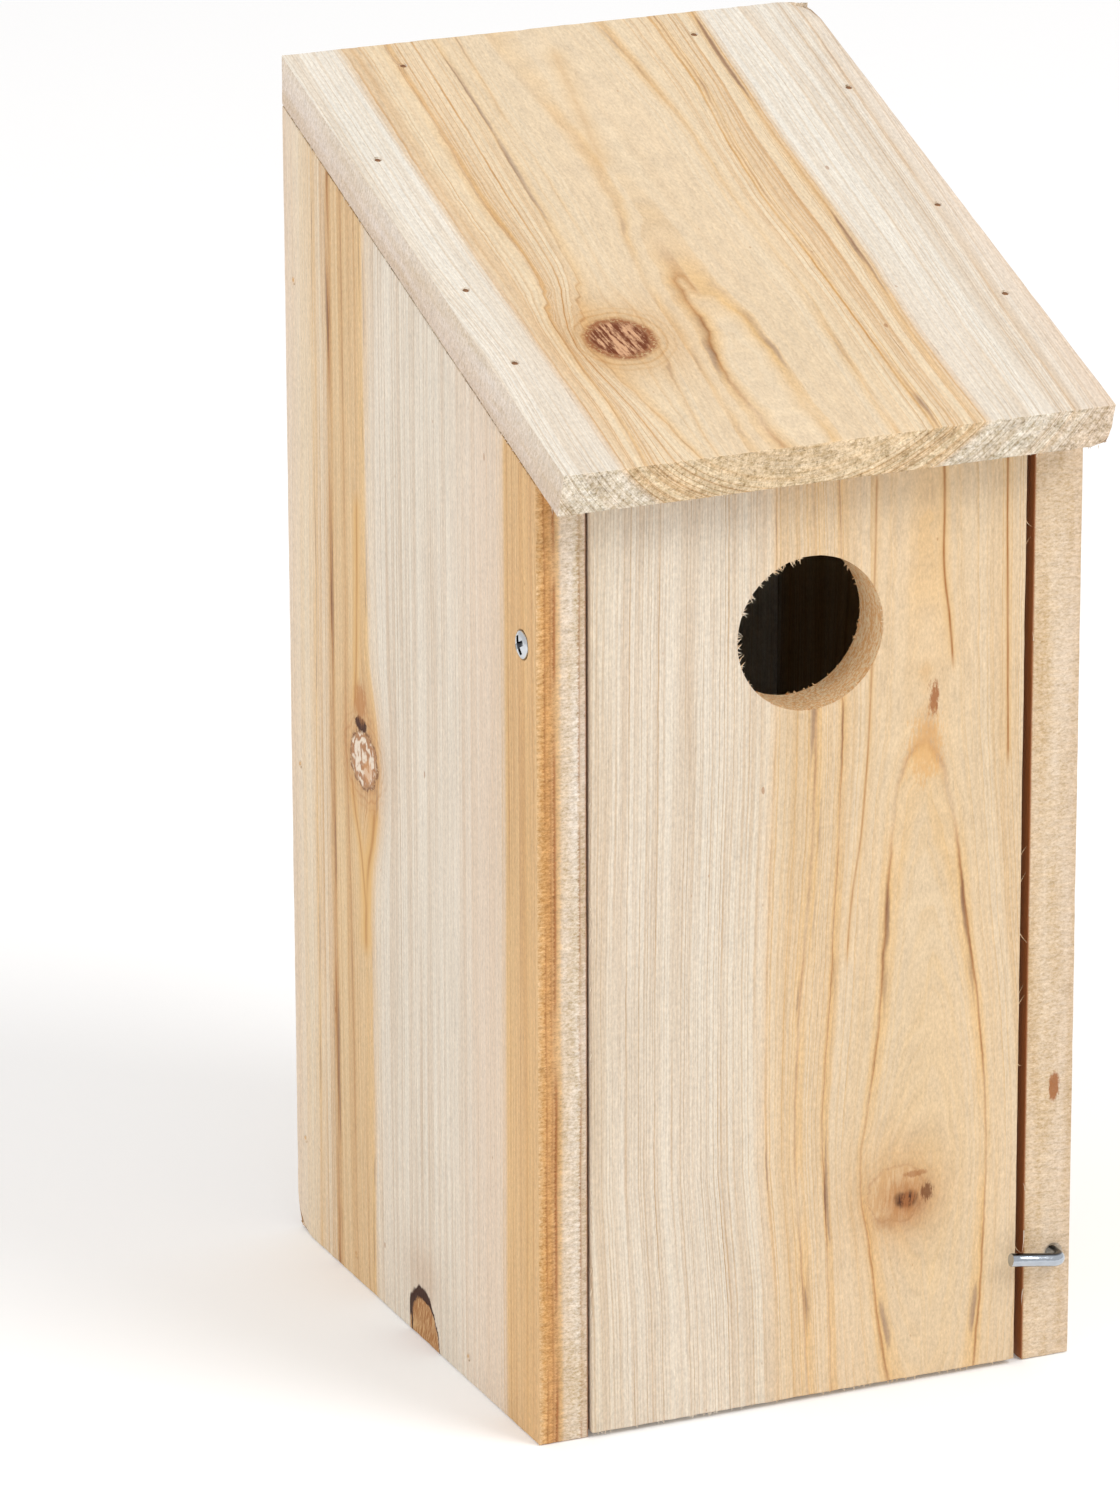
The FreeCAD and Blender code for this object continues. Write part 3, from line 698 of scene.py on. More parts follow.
DOOR_LOOK = dict(
    seed=31, wander=0.8, tremble=0.35, pith=(25.2, 17),
    arch=[(0, 10), (19, 11.5), (33, 13), (43, 14), (50, 14.5), (64, 13), (82, 11.5), (99, 9.5), (117, 8),
          (128, 6.5), (136, 4.5), (142, 0)],
    rings=((1.4, 1, 0.76), (0.6, 0.8, 0.6)), band=0.3, hair=0.45, dashes=0.2,
    early=[(15, 22, rgb(224, 199, 164)), (26, 37, rgb(225, 202, 170)), (38.6, rgb(229, 209, 182)),
           (42, rgb(228, 215, 195)), (50, 68, rgb(229, 217, 199)), (78, rgb(224, 209, 186))],
    late=[(15, rgb(226, 196, 150)), (22, rgb(224, 192, 148)), (28, 37, TAN_LINE), (41, rgb(196, 158, 114)),
          (50, 78, rgb(188, 152, 112))],
    torn=0.14, edge_wander=2,
    knots=[
        dict(u=19.6, v=42.6, size=(6.6, 6.4), spread=(8, 12), push=0.15, uneven=0.6,
             dark=rgb(214, 170, 118), pale=rgb(238, 208, 166), body=0.55, halo=rgb(246, 214, 168),
             glow=0.6, ripple=0.1, lean=0.05, bark=0.28, bark_width=0.06, bark_colour=rgb(166, 108, 60)),
        dict(u=21.6, v=40.6, size=(3.4, 2.7), spread=(4, 4), push=0, uneven=0.9, dark=rgb(66, 32, 18),
             pale=rgb(158, 100, 58), body=0.95, soft=0.7, halo=rgb(214, 162, 110), glow=0.75, ripple=0,
             lean=0.1, bark=0, bark_width=0.2, bark_colour=rgb(120, 68, 34)),
    ],
    hollows=[
        hollow(26.2, 41.8, (1.6, 2.4), (112, 62, 30), 0.8, ragged=1.8, deep=0.4),
        hollow(17.2, 36.6, (4.5, 2.6), (180, 128, 78), 0.35, soft=0.6, ragged=1.6),
        hollow(23.5, 46.2, (3.6, 0.9), (160, 102, 56), 0.6, ragged=1.5),
        hollow(26.6, 148.2, (1.5, 4.4), (160, 94, 44), 0.85, ragged=1.8, deep=0.3),
        hollow(25, 138, (5, 9), (224, 170, 104), 0.6, soft=0.5, ragged=2.2),
    ],
    bore=ENTRANCE,
    lines=[
        line([(1, 37.5), (18, 38.5), (32, 39), (47, 39.5), (64, 39), (83, 37.5), (99, 35), (115, 33),
              (127, 31), (135, 29), (142, 25.5)], 1.3, 0.7, 0.8, ring=22.28),
        line([(1, 17.5), (19, 15), (33, 13), (43, 11), (52, 11), (64, 13), (81, 15), (99, 16), (118, 17),
              (129, 18), (136, 20), (142, 25)], 1.3, 0.7, 0.8, ring=22.28),
        line([(1, 5), (24, 4), (43, 3), (60, 2), (76, 3), (88, 4), (101, 4.5), (119, 5.5), (138, 6),
              (201, 5.5)], 1, 0.75, 0.5),
        line([(1, -0.5), (32, -2.5), (51, -4), (64, -4), (83, -3), (101, -1.5), (120, 0), (139, 0.5),
              (201, 0)], 1.2, 0.5, 0.7),
        line([(1, -7.5), (26, -8), (52, -10), (75, -10), (93, -10), (115, -9.5), (140, -8.5), (201, -8)],
              0.6, 0.5, 0.35),
    ],
    strokes=[
        line([(152, 31), (164, 30), (177, 28.5), (190, 28.5), (204, 28)], 0.5, 0.8, 0.3),
        line([(130, 43.5), (160, 43), (190, 42.5), (204, 42.5)], 0.45, 0.8, 0.25),
        line([(92, 7.5), (106, 8.5), (125, 11), (150, 12.5), (200, 13.5)], 0.4, 0.5, 0.25),
    ],
)
BACK_LOOK = dict(
    PLAIN_LOOK, seed=47, wander=2.4, pith=(6, 24),
    arch=[(20, 0), (90, 10), (249, 14)],
    dashes=0.5,
    early=[(24, 34, TAN), (40, 44, CREAM), (48, 90, SAPWOOD)],
    late=[(24, TAN_LINE), (42, GOLD_LINE), (48, 90, SAPWOOD_LINE)],
    torn=0.14,
    knots=[
        dict(PLAIN_KNOT, u=-20, v=150, size=(6.5, 7.5), spread=(12, 26), dark=rgb(112, 60, 30),
             pale=rgb(196, 142, 100), bark_colour=rgb(110, 62, 34)),
    ],
    lines=[
        line([(0, 22), (80, 24), (150, 21), (249, 23)], 0.8, 0.5, 0.5),
        line([(0, -37), (110, -38), (150, -40), (190, -38), (249, -37)], 0.8, 0.5, 0.5),
    ],
)
FLOOR_LOOK = dict(
    PLAIN_LOOK, seed=59, wander=2, pith=(-30, 28), dashes=0.4,
    early=[(28, TAN), (44, 50, CREAM), (56, 110, SAPWOOD)],
    late=[(28, TAN_LINE), (52, GOLD_LINE), (56, 110, SAPWOOD_LINE)],
    torn=0.16,
)


# ---- boards

EASE = 0.35           # how far the sawn corners are rubbed down
STEP_ALONG = 4.0      # mesh size along the grain, across it and through the board
STEP_ACROSS = 2.0
STEP_THROUGH = 1.1


def axes(u_axis, v_axis, origin):
    """A board's own frame: w is the third axis, out of its face."""
    u_axis, v_axis = Vector(u_axis), Vector(v_axis)
    w_axis = u_axis.cross(v_axis)
    matrix = Matrix((u_axis, v_axis, w_axis)).transposed().to_4x4()
    matrix.translation = Vector(origin) * MM
    return matrix


def slab(face, back, thickness):
    """A six-sided board with rubbed corners: face and back are the (u, v) corners of its two sides."""
    mesh = bmesh.new()
    top = [mesh.verts.new((u, v, 0.0)) for u, v in face]
    low = [mesh.verts.new((u, v, -thickness)) for u, v in back]
    mesh.faces.new(top)
    mesh.faces.new(low[::-1])
    for i in range(4):
        j = (i + 1) % 4
        mesh.faces.new((top[i], low[i], low[j], top[j]))
    bmesh.ops.recalc_face_normals(mesh, faces=mesh.faces)
    planes = [(f.calc_center_median().copy(), f.normal.copy()) for f in mesh.faces]
    bmesh.ops.bevel(mesh, geom=mesh.edges[:], offset=EASE, segments=2, profile=0.6, affect="EDGES")
    return mesh, planes


def cone(mesh, where, direction, radius, end_radius, length, sides=48):
    """A round cutting tool: it starts at a point and runs along a direction."""
    middle = Matrix.Translation(where) @ towards(direction) @ Matrix.Translation((0, 0, length / 2))
    bmesh.ops.create_cone(mesh, cap_ends=True, segments=sides, radius1=radius, radius2=end_radius,
                          depth=length, matrix=middle)


def to_object(mesh, name, smooth=False):
    """A bmesh in millimetres as an object in metres."""
    bmesh.ops.scale(mesh, vec=(MM, MM, MM), verts=mesh.verts)
    data = bpy.data.meshes.new(name)
    mesh.to_mesh(data)
    mesh.free()
    for polygon in data.polygons:
        polygon.use_smooth = smooth
    piece = bpy.data.objects.new(name, data)
    bpy.context.scene.collection.objects.link(piece)
    return piece


def take_place(piece, node, body):
    """Let a piece ride on a body in place of a CAD node."""
    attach(piece, body)
    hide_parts(node)


def towards(direction):
    """The turn that brings +Z to a direction."""
    return Vector((0, 0, 1)).rotation_difference(Vector(direction)).to_matrix().to_4x4()


def polar(angle, reach=1.0, height=0.0):
    """A point round the Z axis."""
    return Vector((reach * math.cos(angle), reach * math.sin(angle), height))


def cut_away(piece, tools):
    """Take the tools' shapes out of a piece."""
    modifier = piece.modifiers.new("cut", "BOOLEAN")
    modifier.object, modifier.operation, modifier.solver = tools, "DIFFERENCE", "EXACT"
    depsgraph = bpy.context.evaluated_depsgraph_get()
    data = bpy.data.meshes.new_from_object(piece.evaluated_get(depsgraph))
    piece.modifiers.remove(modifier)
    piece.data = data
    bpy.data.objects.remove(tools)


def slice_up(mesh, axis, low, high, step):
    """Cut a mesh at even steps along an axis so that it can be worn and roughened."""
    count = max(1, round((high - low) / step))
    normal = Vector([float(i == axis) for i in range(3)])
    for i in range(1, count):
        place = normal * (low + (high - low) * i / count)
        bmesh.ops.bisect_plane(mesh, geom=mesh.verts[:] + mesh.edges[:] + mesh.faces[:], dist=1e-4,
                               plane_co=place, plane_no=normal)


def wear(mesh, planes, seed, chips):
    """Move the surface in a little: wavy faces, rubbed and nicked edges, rough ends, chipped corners."""
    mesh.normal_update()
    shift = Vector((seed * 17.3, seed * 5.1, seed * 9.7))
    moved = []
    for vertex in mesh.verts:
        place = vertex.co
        depths = sorted((centre - place).dot(normal) for centre, normal in planes)
        wavy = noise.noise(place * 0.05 + shift)
        nick = noise.noise(Vector((place.x * 0.9, place.y * 0.22, place.z * 0.9)) + shift)
        fine = noise.noise(Vector((place.x * 1.9, place.y * 0.8, place.z * 1.9)) + shift)
        edge = math.exp(-max(depths[1], 0.0) / 0.7)
        along = abs(vertex.normal.y)
        depth = 0.05 + 0.04 * wavy + edge * (0.10 + 0.16 * max(nick, 0.0) + 0.05 * fine)
        depth += along * 0.10 * (0.5 + fine)
        for u, v, w, radius, bite in chips:
            reach = (place - Vector((u, v, w))).length / radius
            depth += bite * math.exp(-reach * reach) * (1.0 + 0.5 * nick)
        moved.append(place - vertex.normal * max(depth, 0.0))
    for vertex, place in zip(mesh.verts, moved):
        vertex.co = place


def skin(mesh, rings):
    """Join rings of vertices with quads."""
    for first, second in zip(rings, rings[1:]):
        for i in range(len(first)):
            j = (i + 1) % len(first)
            mesh.faces.new((first[i], first[j], second[j], second[i]))


def splinter(mesh, root, direction, curl, length, width):
    """One thin fibre that stands off a torn edge, tapering and curling."""
    forward = Vector(direction).normalized()
    aside = forward.cross(Vector((0.3, 0.1, 1.0))).normalized()
    up = aside.cross(forward)
    count = 4
    rings = []
    for i in range(count):
        along = i / count
        middle = Vector(root) + forward * length * along + Vector(curl) * along * along
        size = width * (1.0 - along) / 2
        rings.append([mesh.verts.new(middle + aside * size * a + up * size * b)
                      for a, b in ((1, 0), (-0.5, 0.8), (-0.5, -0.8))])
    tip = mesh.verts.new(Vector(root) + forward * length + Vector(curl))
    mesh.faces.new(rings[0][::-1])
    skin(mesh, rings)
    for i in range(3):
        mesh.faces.new((rings[-1][i], rings[-1][(i + 1) % 3], tip))


def board(name, node, body, look, frame_of, face, back, thickness=BOARD, cuts=(), chips=(), fuzz=()):
    """A whole board: shape, holes, wear, splinters, material, and the body that it rides on."""
    mesh, planes = slab(face, back, thickness)
    piece = to_object(mesh, name)
    if cuts:
        tools = bmesh.new()
        for cut in cuts:
            cone(tools, *cut)
        cut_away(piece, to_object(tools, f"{name}_tools"))
    mesh = bmesh.new()
    mesh.from_mesh(piece.data)
    bmesh.ops.scale(mesh, vec=(1 / MM, 1 / MM, 1 / MM), verts=mesh.verts)
    corners = list(face) + list(back)
    for axis, step in ((0, STEP_ACROSS), (1, STEP_ALONG)):
        values = [corner[axis] for corner in corners]
        slice_up(mesh, axis, min(values), max(values), step)
    slice_up(mesh, 2, -thickness, 0.0, STEP_THROUGH)
    wear(mesh, planes, look["seed"], chips)
    solid = len(mesh.verts)
    for fibre in fuzz:
        splinter(mesh, *fibre)
    grain = Grain(look)
    ring = mesh.verts.layers.float.new("ring")
    place = mesh.verts.layers.float_vector.new("place")
    for number, vertex in enumerate(mesh.verts):
        spot = vertex.co.copy()
        if number >= solid:
            spot.z = max(spot.z, -thickness / 2)
        vertex[ring], vertex[place] = grain.ring(*spot), spot
    bmesh.ops.transform(mesh, matrix=frame_of @ Matrix.Scale(MM, 4), verts=mesh.verts)
    mesh.to_mesh(piece.data)
    mesh.free()
    piece.data.materials.clear()
    piece.data.materials.append(wood(name, look, frame_of))
    take_place(piece, node, body)


def rectangle(u0, u1, v0, v1):
    return [(u0, v0), (u1, v0), (u1, v1), (u0, v1)]


def nail_pit(u, v):
    """A small sunk cone over a nail's head, cut from just outside the face."""
    mouth, bottom, depth = NAIL_PIT
    return ((u, v, 0.4), (0, 0, -1), mouth + 0.3, bottom, depth + 0.4, 20)


def roof_board():
    """u is X, v runs up the slope from 0 at the back edge."""
    lean = ROOF_THICKNESS * RISE
    face = rectangle(-HALF_WIDTH, HALF_WIDTH, -ROOF_LENGTH, 0.0)
    back = rectangle(-HALF_WIDTH, HALF_WIDTH, -ROOF_LENGTH, -lean)
    pits = [nail_pit(u, v) for u, v in ROOF_NAILS]
    frame_of = axes((1, 0, 0), (0, math.cos(SLOPE), math.sin(SLOPE)), (0, BACK_Y, ROOF_HIGH.z))
    chips = [(HALF_WIDTH, 0.0, 0.0, 3.5, 1.6), (HALF_WIDTH, -ROOF_LENGTH, -ROOF_THICKNESS, 2.0, 0.8)]
    chance = random.Random(3)
    between = chance.uniform
    fuzz = []
    for _ in range(46):
        root = Vector((between(-HALF_WIDTH, HALF_WIDTH), 0.15 - ROOF_LENGTH, 0.25 - ROOF_THICKNESS))
        fuzz.append((root, (between(-0.9, 0.9), -0.2, -1.0), (0, 0, 0), between(0.3, 1.0), 0.26))
    for _ in range(30):
        root = Vector((0.15 - HALF_WIDTH, -between(2, ROOF_LENGTH - 1), 0.25 - ROOF_THICKNESS))
        curl = Vector((0.0, 0.0, -between(0.0, 0.4)))
        fuzz.append((root, (-0.1, chance.choice((-1, 1)), -0.6), curl, between(0.5, 1.6), 0.26))
    board("roof", "roof_board", "frame", ROOF_LOOK, frame_of, face, back, ROOF_THICKNESS,
          pits, chips, fuzz)


def nail_spots(prefix, count, place):
    """Where a row of nails enters its board, as (u, v), from the nails' own boxes."""
    return [place(*box_mm(f"{prefix}_{number}")) for number in range(1, count + 1)]


def roof_spot(low, high):
    """A roof nail's head is at its highest point; v is measured down the slope from the back edge."""
    head = (high.z - 0.95 * math.sin(SLOPE) - ROOF_HIGH.z) / math.sin(SLOPE)
    return ((low.x + high.x) / 2, head)


def side_spot(sign):
    return lambda low, high: (sign * (low.y + high.y) / 2, (low.z + high.z) / 2)


ROOF_NAILS = (nail_spots("roof_nail_left", 3, roof_spot) + nail_spots("roof_nail_right", 3, roof_spot)
              + nail_spots("roof_nail_back", 2, roof_spot))


def side_board(side):
    """The left board for -1, the right one for 1: u runs to the front on the left and back on the right."""
    word = "left" if side < 0 else "right"
    front, rear = side * SIDE_LOW.y, side * SIDE_HIGH.y
    front_top, rear_top = BACK_HIGH.z - RISE * (SIDE_HIGH.y - SIDE_LOW.y), BACK_HIGH.z
    outline = [(rear, 0.0), (front, 0.0), (front, front_top), (rear, rear_top)]
    if side > 0:
        outline = [(front, 0.0), (rear, 0.0), (rear, rear_top), (front, front_top)]
    spots = nail_spots(f"{word}_nail_back", 3, side_spot(side))
    spots += nail_spots(f"{word}_nail_floor", 2, side_spot(side))
    cuts = [nail_pit(u, v) for u, v in spots]
    pivot = (side * PIVOT_Y, PIVOT_Z)
    cuts.append(((*pivot, 0.3), (0, 0, -1), 3.45, 1.8, 1.9, 40))
    cuts.append(((*pivot, -1.5), (0, 0, -1), 1.8, 1.8, BOARD, 40))
    frame_of = axes((0, side, 0), (0, 0, 1), (side * HALF_WIDTH, 0, 0))
    chips = [(rear, 0.0, 0.0, 4.0, 1.2)]
    look, fuzz = LEFT_LOOK, []
    if side > 0:
        look = RIGHT_LOOK
        for start, radius, length in ((-0.3, 2.5, 1.0), (0.5, 1.45, 12.7)):
            cuts.append(((front + start, HOOK_Z, -HOOK_INSET), (1, 0, 0), radius, 1.45, length, 32))
        for v, way, curl, length, width in ((16, (-0.9, -0.5, -0.8), (-0.3, -1.8, 0.2), 2.6, 0.36),
                                            (29, (-0.7, -1.4, -0.3), (-0.2, 0.2, -0.8), 5.0, 0.34),
                                            (38, (-0.7, 1.0, -0.3), (-0.2, 0.6, -0.7), 2.4, 0.32),
                                            (98, (-0.8, 1.0, -0.3), (-0.3, 0.6, -0.6), 3.6, 0.32),
                                            (157, (-0.8, 1.0, -0.3), (-0.2, 0.3, -0.7), 3.2, 0.32)):
            fuzz.append(((front + 0.1, v, -BOARD + 0.3), way, curl, length, width))
    board(f"{word}_side", f"{word}_side_board", "frame", look, frame_of, outline, outline,
          BOARD, cuts, chips, fuzz)


def front_door():
    """u is X and v is Z."""
    outline = rectangle(DOOR_LOW.x, DOOR_HIGH.x, DOOR_LOW.z, DOOR_HIGH.z)
    x, z, radius = ENTRANCE
    cuts = [((x, z, 1.0), (0, 0, -1), radius, radius, BOARD + 2.0, 128)]
    frame_of = axes((1, 0, 0), (0, 0, 1), (0, DOOR_LOW.y, 0))
    chance = random.Random(7)
    between = chance.uniform
    fuzz = []
    for _ in range(110):
        turn = math.radians(chance.choice((between(95, 200), between(200, 400))))
        outward = polar(turn)
        sunk = Vector((0, 0, -0.12 - 0.25 * chance.random()))
        root = Vector((x, z, 0.0)) + outward * (radius + 0.1) + sunk
        lean = Vector((between(-0.5, 0.5), between(-0.5, 0.9), 0.0))
        long = between(0.7, 1.7) if 95 < math.degrees(turn) < 200 else between(0.3, 0.7)
        fuzz.append((root, -outward + lean, lean * 0.3, long, between(0.24, 0.45)))
    for _ in range(44):
        turn = math.radians(between(215, 400))
        outward = polar(turn)
        root = Vector((x, z, 0.2 - BOARD)) + outward * (radius + 0.05)
        lean = Vector((between(-0.7, 0.7), between(-0.7, 0.7), 0.4))
        fuzz.append((root, -outward + lean, lean * 0.2, between(0.4, 1.0), between(0.3, 0.6)))
    for _ in range(28):
        root = Vector((DOOR_LOW.x + 0.12, between(8, 150), -0.2 - 0.2 * chance.random()))
        curl = Vector((0.0, between(-0.8, 0.8), 0.0))
        fuzz.append((root, (-0.5, chance.choice((-1, 1)), 0.25), curl * 0.4, between(0.6, 1.7), 0.3))
    for _ in range(40):
        root = Vector((between(DOOR_LOW.x + 1, DOOR_HIGH.x - 1), DOOR_LOW.z + 0.15, -0.35))
        fuzz.append((root, (between(-0.8, 0.8), -1.0, 0.2), (0, 0, 0), between(0.3, 0.75), 0.28))
    for _ in range(9):
        root = Vector((DOOR_HIGH.x - 0.1, between(6, 190), -0.3 - 0.3 * chance.random()))
        curl = Vector((between(0.2, 0.7), between(-1.0, 1.0), 0.0))
        fuzz.append((root, (0.5, chance.choice((-1, 1)), 0.0), curl, between(1.2, 3.0), 0.2))
    board("door", "front_door", "door", DOOR_LOOK, frame_of, outline, outline, BOARD, cuts,
          fuzz=fuzz)


def back_board():
    """u is -X and v is Z; its top follows the roof's slope."""
    half = BACK_HIGH.x
    face = rectangle(-half, half, 0.0, BACK_HIGH.z)
    back = rectangle(-half, half, 0.0, BACK_HIGH.z - RISE * BOARD)
    cuts = [((0, z, 1.0), (0, 0, -1), 2.25, 2.25, BOARD + 2.0, 32) for z in (60.0, 200.0)]
    frame_of = axes((-1, 0, 0), (0, 0, 1), (0, BACK_Y, 0))
    board("back", "back_board", "frame", BACK_LOOK, frame_of, face, back, BOARD, cuts)


def floor_board():
    """u is -X and v is Y: its face is its underside."""
    outline = rectangle(FLOOR_LOW.x, FLOOR_HIGH.x, FLOOR_LOW.y, FLOOR_HIGH.y)
    frame_of = axes((-1, 0, 0), (0, 1, 0), (0, 0, 0))
    board("floor", "floor_board", "frame", FLOOR_LOOK, frame_of, outline, outline)


roof_board()
side_board(-1)
side_board(1)
front_door()
back_board()
floor_board()


# ---- metal


def metal(name, colour, roughness, scratch, painted_dark=None):
    """Plated steel with faint cloudiness and drawing marks; the last argument gives a mask where painted
    shade and dark reflections darken it.
    """
    g = Graph(name)
    x, y, z = g.local_mm()
    cloud = g.cloud(x * 0.9, y * 0.9, z * 0.9, 3)
    marks = g.cloud(x * 0.6, y * 7.0, z * 7.0, 2)
    shade = 1.0 + cloud * 0.25 + marks * 0.12
    colour = g.tint(colour, shade, shade, shade)
    # Painted shade and dark reflections: the mask darkens the plate towards a near-black.
    if painted_dark:
        colour = g.mix(painted_dark(g, x, y, z), colour, PAINTED_METAL_DARK)
    return g.finish(Base_Color=colour, Roughness=roughness + cloud * 0.2, Metallic=1.0,
                    Normal=g.bump(marks + cloud, scratch, 0.05))


def recess_painted_shade(g, x, y, z):
    """Painted shade where a screw's recess lies below its domed head."""
    along, across = y - PIVOT_Y, z - PIVOT_Z
    dome = 0.72 - (along * along + across * across) * 0.078
    below = dome - (g.math("ABSOLUTE", x) - HALF_WIDTH)
    return g.step(below, 0.10, 0.34) * (1.0 - g.step(below, 0.9, 1.6) * 0.5) * 0.92


def wire_painted_reflection(g, x, y, z):
    """Painted dark reflections on the hook's wire: strong on its upper side, weaker underneath."""
    up = g.xyz(g.add("ShaderNodeTexCoord"), "Normal")[2]
    return g.math("MAXIMUM", g.step(up, 0.74, 0.92) * 0.95, g.step(up * -1.0, 0.55, 0.95) * 0.55)


# The near-black of painted shade and dark reflections on metal.
PAINTED_METAL_DARK = rgb(52, 54, 60)
ZINC = metal("zinc_plate", rgb(222, 226, 230), 0.14, 0.3, recess_painted_shade)
HOOK_ZINC = metal("hook_zinc", rgb(196, 204, 214), 0.10, 0.3, wire_painted_reflection)
STEEL = metal("dull_nail", rgb(168, 124, 90), 0.5, 0.6)


def lathe(mesh, profile, matrix, sides=24):
    """A turned shape about +Z from (radius, height) points, closed at both ends on the axis."""
    rings = [[mesh.verts.new(matrix @ polar(2 * math.pi * i / sides, radius, height)) for i in range(sides)]
             for radius, height in profile[1:-1]]
    first = mesh.verts.new(matrix @ Vector((0, 0, profile[0][1])))
    last = mesh.verts.new(matrix @ Vector((0, 0, profile[-1][1])))
    for i in range(sides):
        j = (i + 1) % sides
        mesh.faces.new((first, rings[0][j], rings[0][i]))
        mesh.faces.new((last, rings[-1][i], rings[-1][j]))
        for low, high in zip(rings, rings[1:]):
            mesh.faces.new((low[i], low[j], high[j], high[i]))
    bmesh.ops.recalc_face_normals(mesh, faces=mesh.faces)


def finish_metal(mesh, node, body, material):
    """A metal piece that takes its CAD node's place."""
    piece = to_object(mesh, f"visible_{node}", smooth=True)
    piece.data.materials.append(material)
    take_place(piece, node, body)
    return piece


def pin_nail(node, direction):
    """A thin nail whose small matt head lies just below the wood: direction points out of the board."""
    low, high = box_mm(node)
    top, tip = NAIL_LENGTH / 2 - 0.12, 0.3 - NAIL_LENGTH / 2
    profile = [(0, tip), (0.12, tip + 0.2), (0.55, tip + 1.9), (0.56, top - 0.7),
               (0.60, top - 0.55), (0.60, top - 0.08), (0.45, top), (0, top - 0.06)]
    mesh = bmesh.new()
    lathe(mesh, profile, Matrix.Translation((low + high) / 2) @ towards(direction), 16)
    finish_metal(mesh, node, "frame", STEEL)


def cross_tool(mesh, matrix, turn):
    """The tapering cross that leaves a screw head's driver recess."""
    rings = []
    for half, arm, height in ((2.1, 0.60, 1.4), (1.95, 0.56, 0.3), (0.8, 0.34, -1.2)):
        ring = []
        for quarter in range(4):
            for along, aside in ((half, -arm), (half, arm), (arm, arm)):
                angle = math.atan2(aside, along) + quarter * math.pi / 2 + turn
                place = polar(angle, math.hypot(along, aside), height)
                ring.append(mesh.verts.new(matrix @ place))
        rings.append(ring)
    mesh.faces.new(rings[0])
    mesh.faces.new(rings[-1][::-1])
    skin(mesh, rings)
    bmesh.ops.recalc_face_normals(mesh, faces=mesh.faces)


def pivot_screw(node, sign):
    """A plated wood screw with a raised countersunk head, a cross recess and a ribbed shank."""
    low, high = box_mm(node)
    face = sign * HALF_WIDTH
    matrix = Matrix.Translation((face, (low.y + high.y) / 2, (low.z + high.z) / 2)) @ towards((sign, 0, 0))
    reach = abs(face - (high.x if sign < 0 else low.x))
    profile = [(0, -reach + 0.1), (0.25, -reach + 0.5), (1.0, -reach + 3.0)]
    place = -reach + 3.4
    while place < -10.5:
        profile += [(1.15, place), (1.62, place + 0.45), (1.15, place + 0.9)]
        place += 1.4
    profile += [(1.3, -10.0), (1.3, -2.6), (2.76, -0.42), (2.9, -0.16), (2.84, 0.10), (2.5, 0.34),
                (2.0, 0.50), (1.2, 0.66), (0.5, 0.72), (0, 0.74)]
    mesh = bmesh.new()
    lathe(mesh, profile, matrix, 40)
    piece = finish_metal(mesh, node, "door", ZINC)
    tool = bmesh.new()
    cross_tool(tool, matrix, math.radians(28))
    cut_away(piece, to_object(tool, f"{node}_tool"))
    piece.data.set_sharp_from_angle(angle=math.radians(32))


def swept_wire(mesh, path, radius, sides=28):
    """A round wire along a path, pointed at its start and cut square at its end."""
    rings = []
    side = Vector((0.0, 0.13, 1.0))
    for i, place in enumerate(path):
        before, after = path[max(i - 1, 0)], path[min(i + 1, len(path) - 1)]
        along = (after - before).normalized()
        side = (side - along * side.dot(along)).normalized()
        other = along.cross(side)
        size = radius * (0.05 if i == 0 else 0.94 if i == len(path) - 1 else 1.0)
        rings.append([mesh.verts.new(place + side * size * math.cos(a) + other * size * math.sin(a))
                      for a in (2 * math.pi * k / sides for k in range(sides))])
    mesh.faces.new(rings[0])
    mesh.faces.new(rings[-1])
    skin(mesh, rings)
    bmesh.ops.recalc_face_normals(mesh, faces=mesh.faces)


def latch_hook():
    """A bent wire: its stem turns in the right board's edge and its arm lies across the door."""
    radius, bend, tilt = HOOK_WIRE, 2.4, math.radians(9)
    stem = Vector((HOOK_X, HOOK_HIGH.y, HOOK_Z))
    arm = Vector((-math.cos(tilt), 0.0, math.sin(tilt)))
    out = Vector((0.0, -1.0, 0.0))
    corner = Vector((stem.x, HOOK_LOW.y + radius, stem.z))
    path = [stem + out * 0.05, stem + out * 3.0, corner - out * (bend + 3.0)]
    for i in range(13):
        angle = math.pi / 2 * i / 12
        path.append(corner - out * bend * (1 - math.sin(angle)) + arm * bend * (1 - math.cos(angle)))
    end = corner + arm * 12.0
    path += [corner + arm * 6.0, end - arm * 0.10, end]
    mesh = bmesh.new()
    swept_wire(mesh, path, radius)
    piece = finish_metal(mesh, "latch_hook", "hook", HOOK_ZINC)
    piece.data.set_sharp_from_angle(angle=math.radians(40))


OUTWARD = {"roof": (0, -math.sin(SLOPE), math.cos(SLOPE)), "left": (-1, 0, 0), "right": (1, 0, 0)}
for node_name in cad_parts:
    nailed, nail, _ = node_name.partition("_nail_")
    if nail:
        pin_nail(node_name, OUTWARD[nailed])
pivot_screw("left_pivot_screw", -1)
pivot_screw("right_pivot_screw", 1)
latch_hook()


# ---- studio


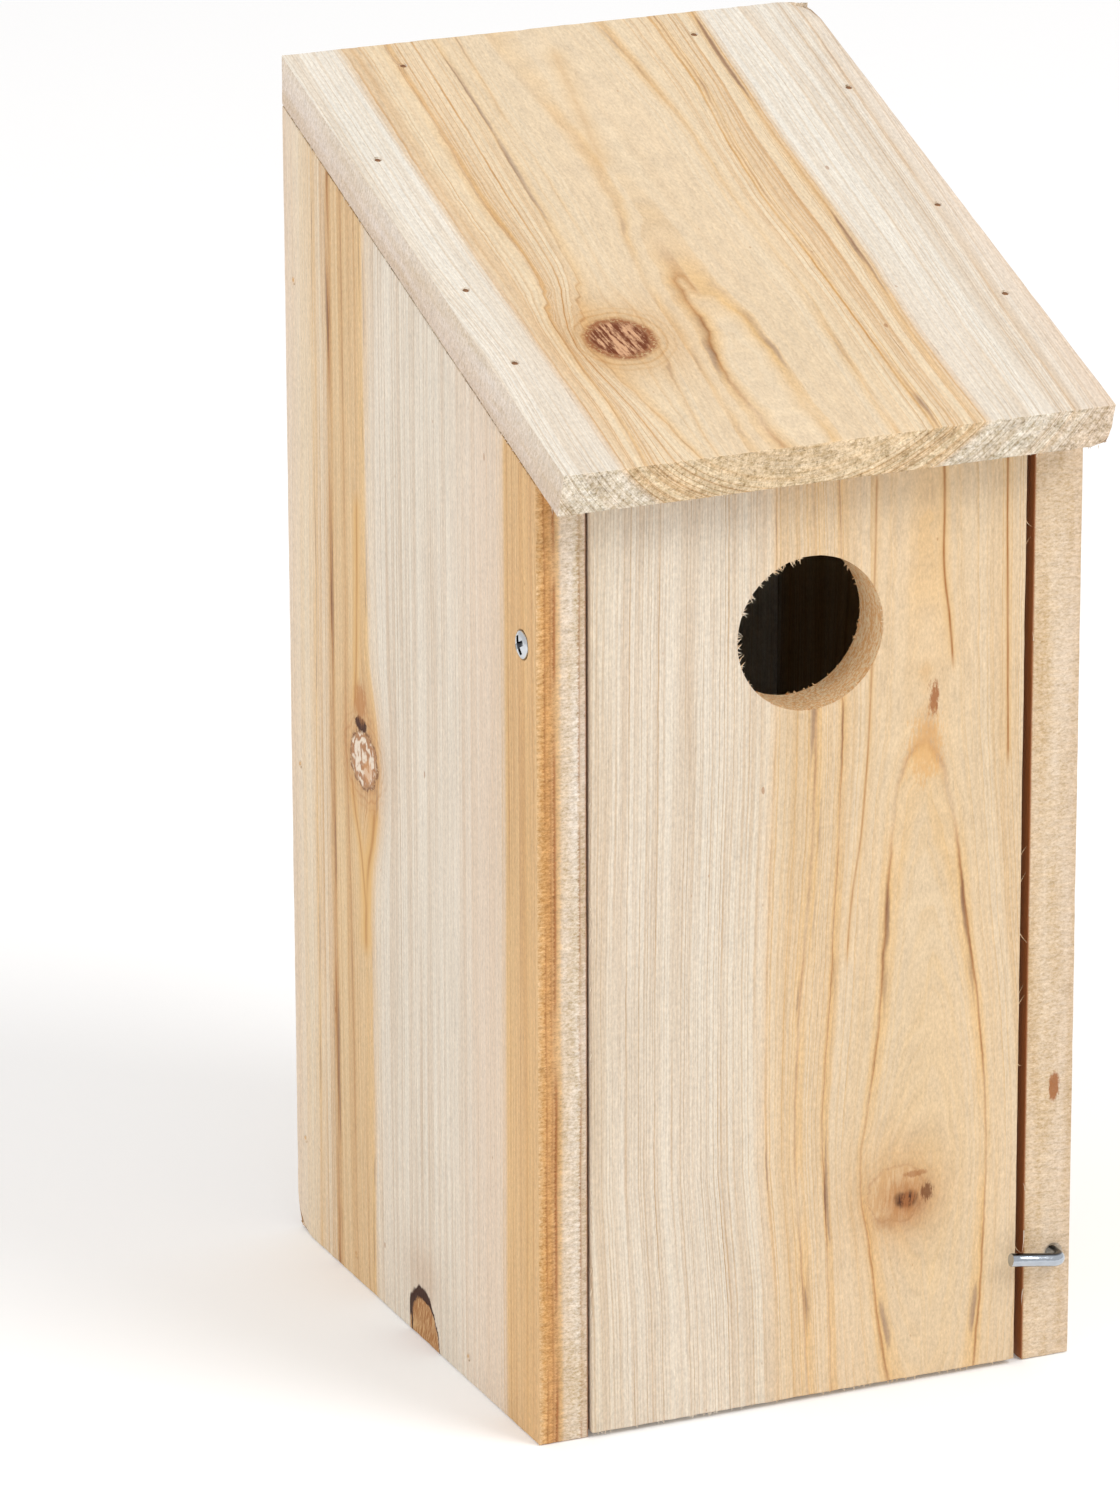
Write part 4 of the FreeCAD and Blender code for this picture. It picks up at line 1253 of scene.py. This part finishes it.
def stage_floor():
    """A pale floor, wide enough to fill every view."""
    mesh = bmesh.new()
    bmesh.ops.create_grid(mesh, x_segments=8, y_segments=8, size=6000.0)
    floor = to_object(mesh, "studio_floor")
    g = Graph("studio_floor")
    x, y, z = g.local_mm()
    tone = g.noise(x * 0.002, y * 0.002, 0.0, 1) * 0.01 + 0.93
    floor.data.materials.append(g.finish(Base_Color=g.colour(tone, tone, tone), Roughness=0.9,
                                         Specular_IOR_Level=0.1, Emission_Color=(1.0, 1.0, 1.0, 1.0),
                                         Emission_Strength=0.08))


def area_light(name, place, target, size, power, colour=(1, 1, 1)):
    light = bpy.data.lights.new(name, "AREA")
    light.shape, light.size, light.energy, light.color = "DISK", size, power, colour
    lamp = bpy.data.objects.new(name, light)
    lamp.location = place
    lamp.rotation_euler = (Vector(target) - Vector(place)).to_track_quat("-Z", "Y").to_euler()
    bpy.context.scene.collection.objects.link(lamp)


def studio_light():
    world = bpy.data.worlds.new("studio")
    world.use_nodes = True
    sky = world.node_tree.nodes["Background"]
    sky.inputs["Color"].default_value = (1.0, 0.99, 0.985, 1.0)
    sky.inputs["Strength"].default_value = 0.78
    bpy.context.scene.world = world
    area_light("key", (1.1, -1.6, 2.15), (0, 0, 0.12), 1.3, 32.0)
    area_light("left_fill", (-2.3, -0.9, 1.1), (0, 0, 0.12), 1.5, 19.0)
    bpy.context.scene.view_settings.view_transform = "Standard"


CAMERA_AZIMUTH, CAMERA_ELEVATION, CAMERA_ROLL = -23.59, 18.673, -0.213
CAMERA_PLACE = (-0.66973, -1.46652, 0.66744)
CAMERA_LENS = 197.6


def studio_camera():
    """The camera is turned round the box, tilted down to it and rolled a little."""
    turn, tilt, roll = (math.radians(a) for a in (CAMERA_AZIMUTH, 90.0 - CAMERA_ELEVATION, CAMERA_ROLL))
    lens = bpy.data.cameras.new("camera")
    lens.lens = CAMERA_LENS
    lens.clip_end = 30.0
    camera = bpy.data.objects.new("camera", lens)
    camera.matrix_world = (Matrix.Translation(CAMERA_PLACE) @ Matrix.Rotation(turn, 4, "Z")
                           @ Matrix.Rotation(tilt, 4, "X") @ Matrix.Rotation(roll, 4, "Z"))
    bpy.context.scene.collection.objects.link(camera)
    bpy.context.scene.camera = camera


stage_floor()
studio_light()
studio_camera()
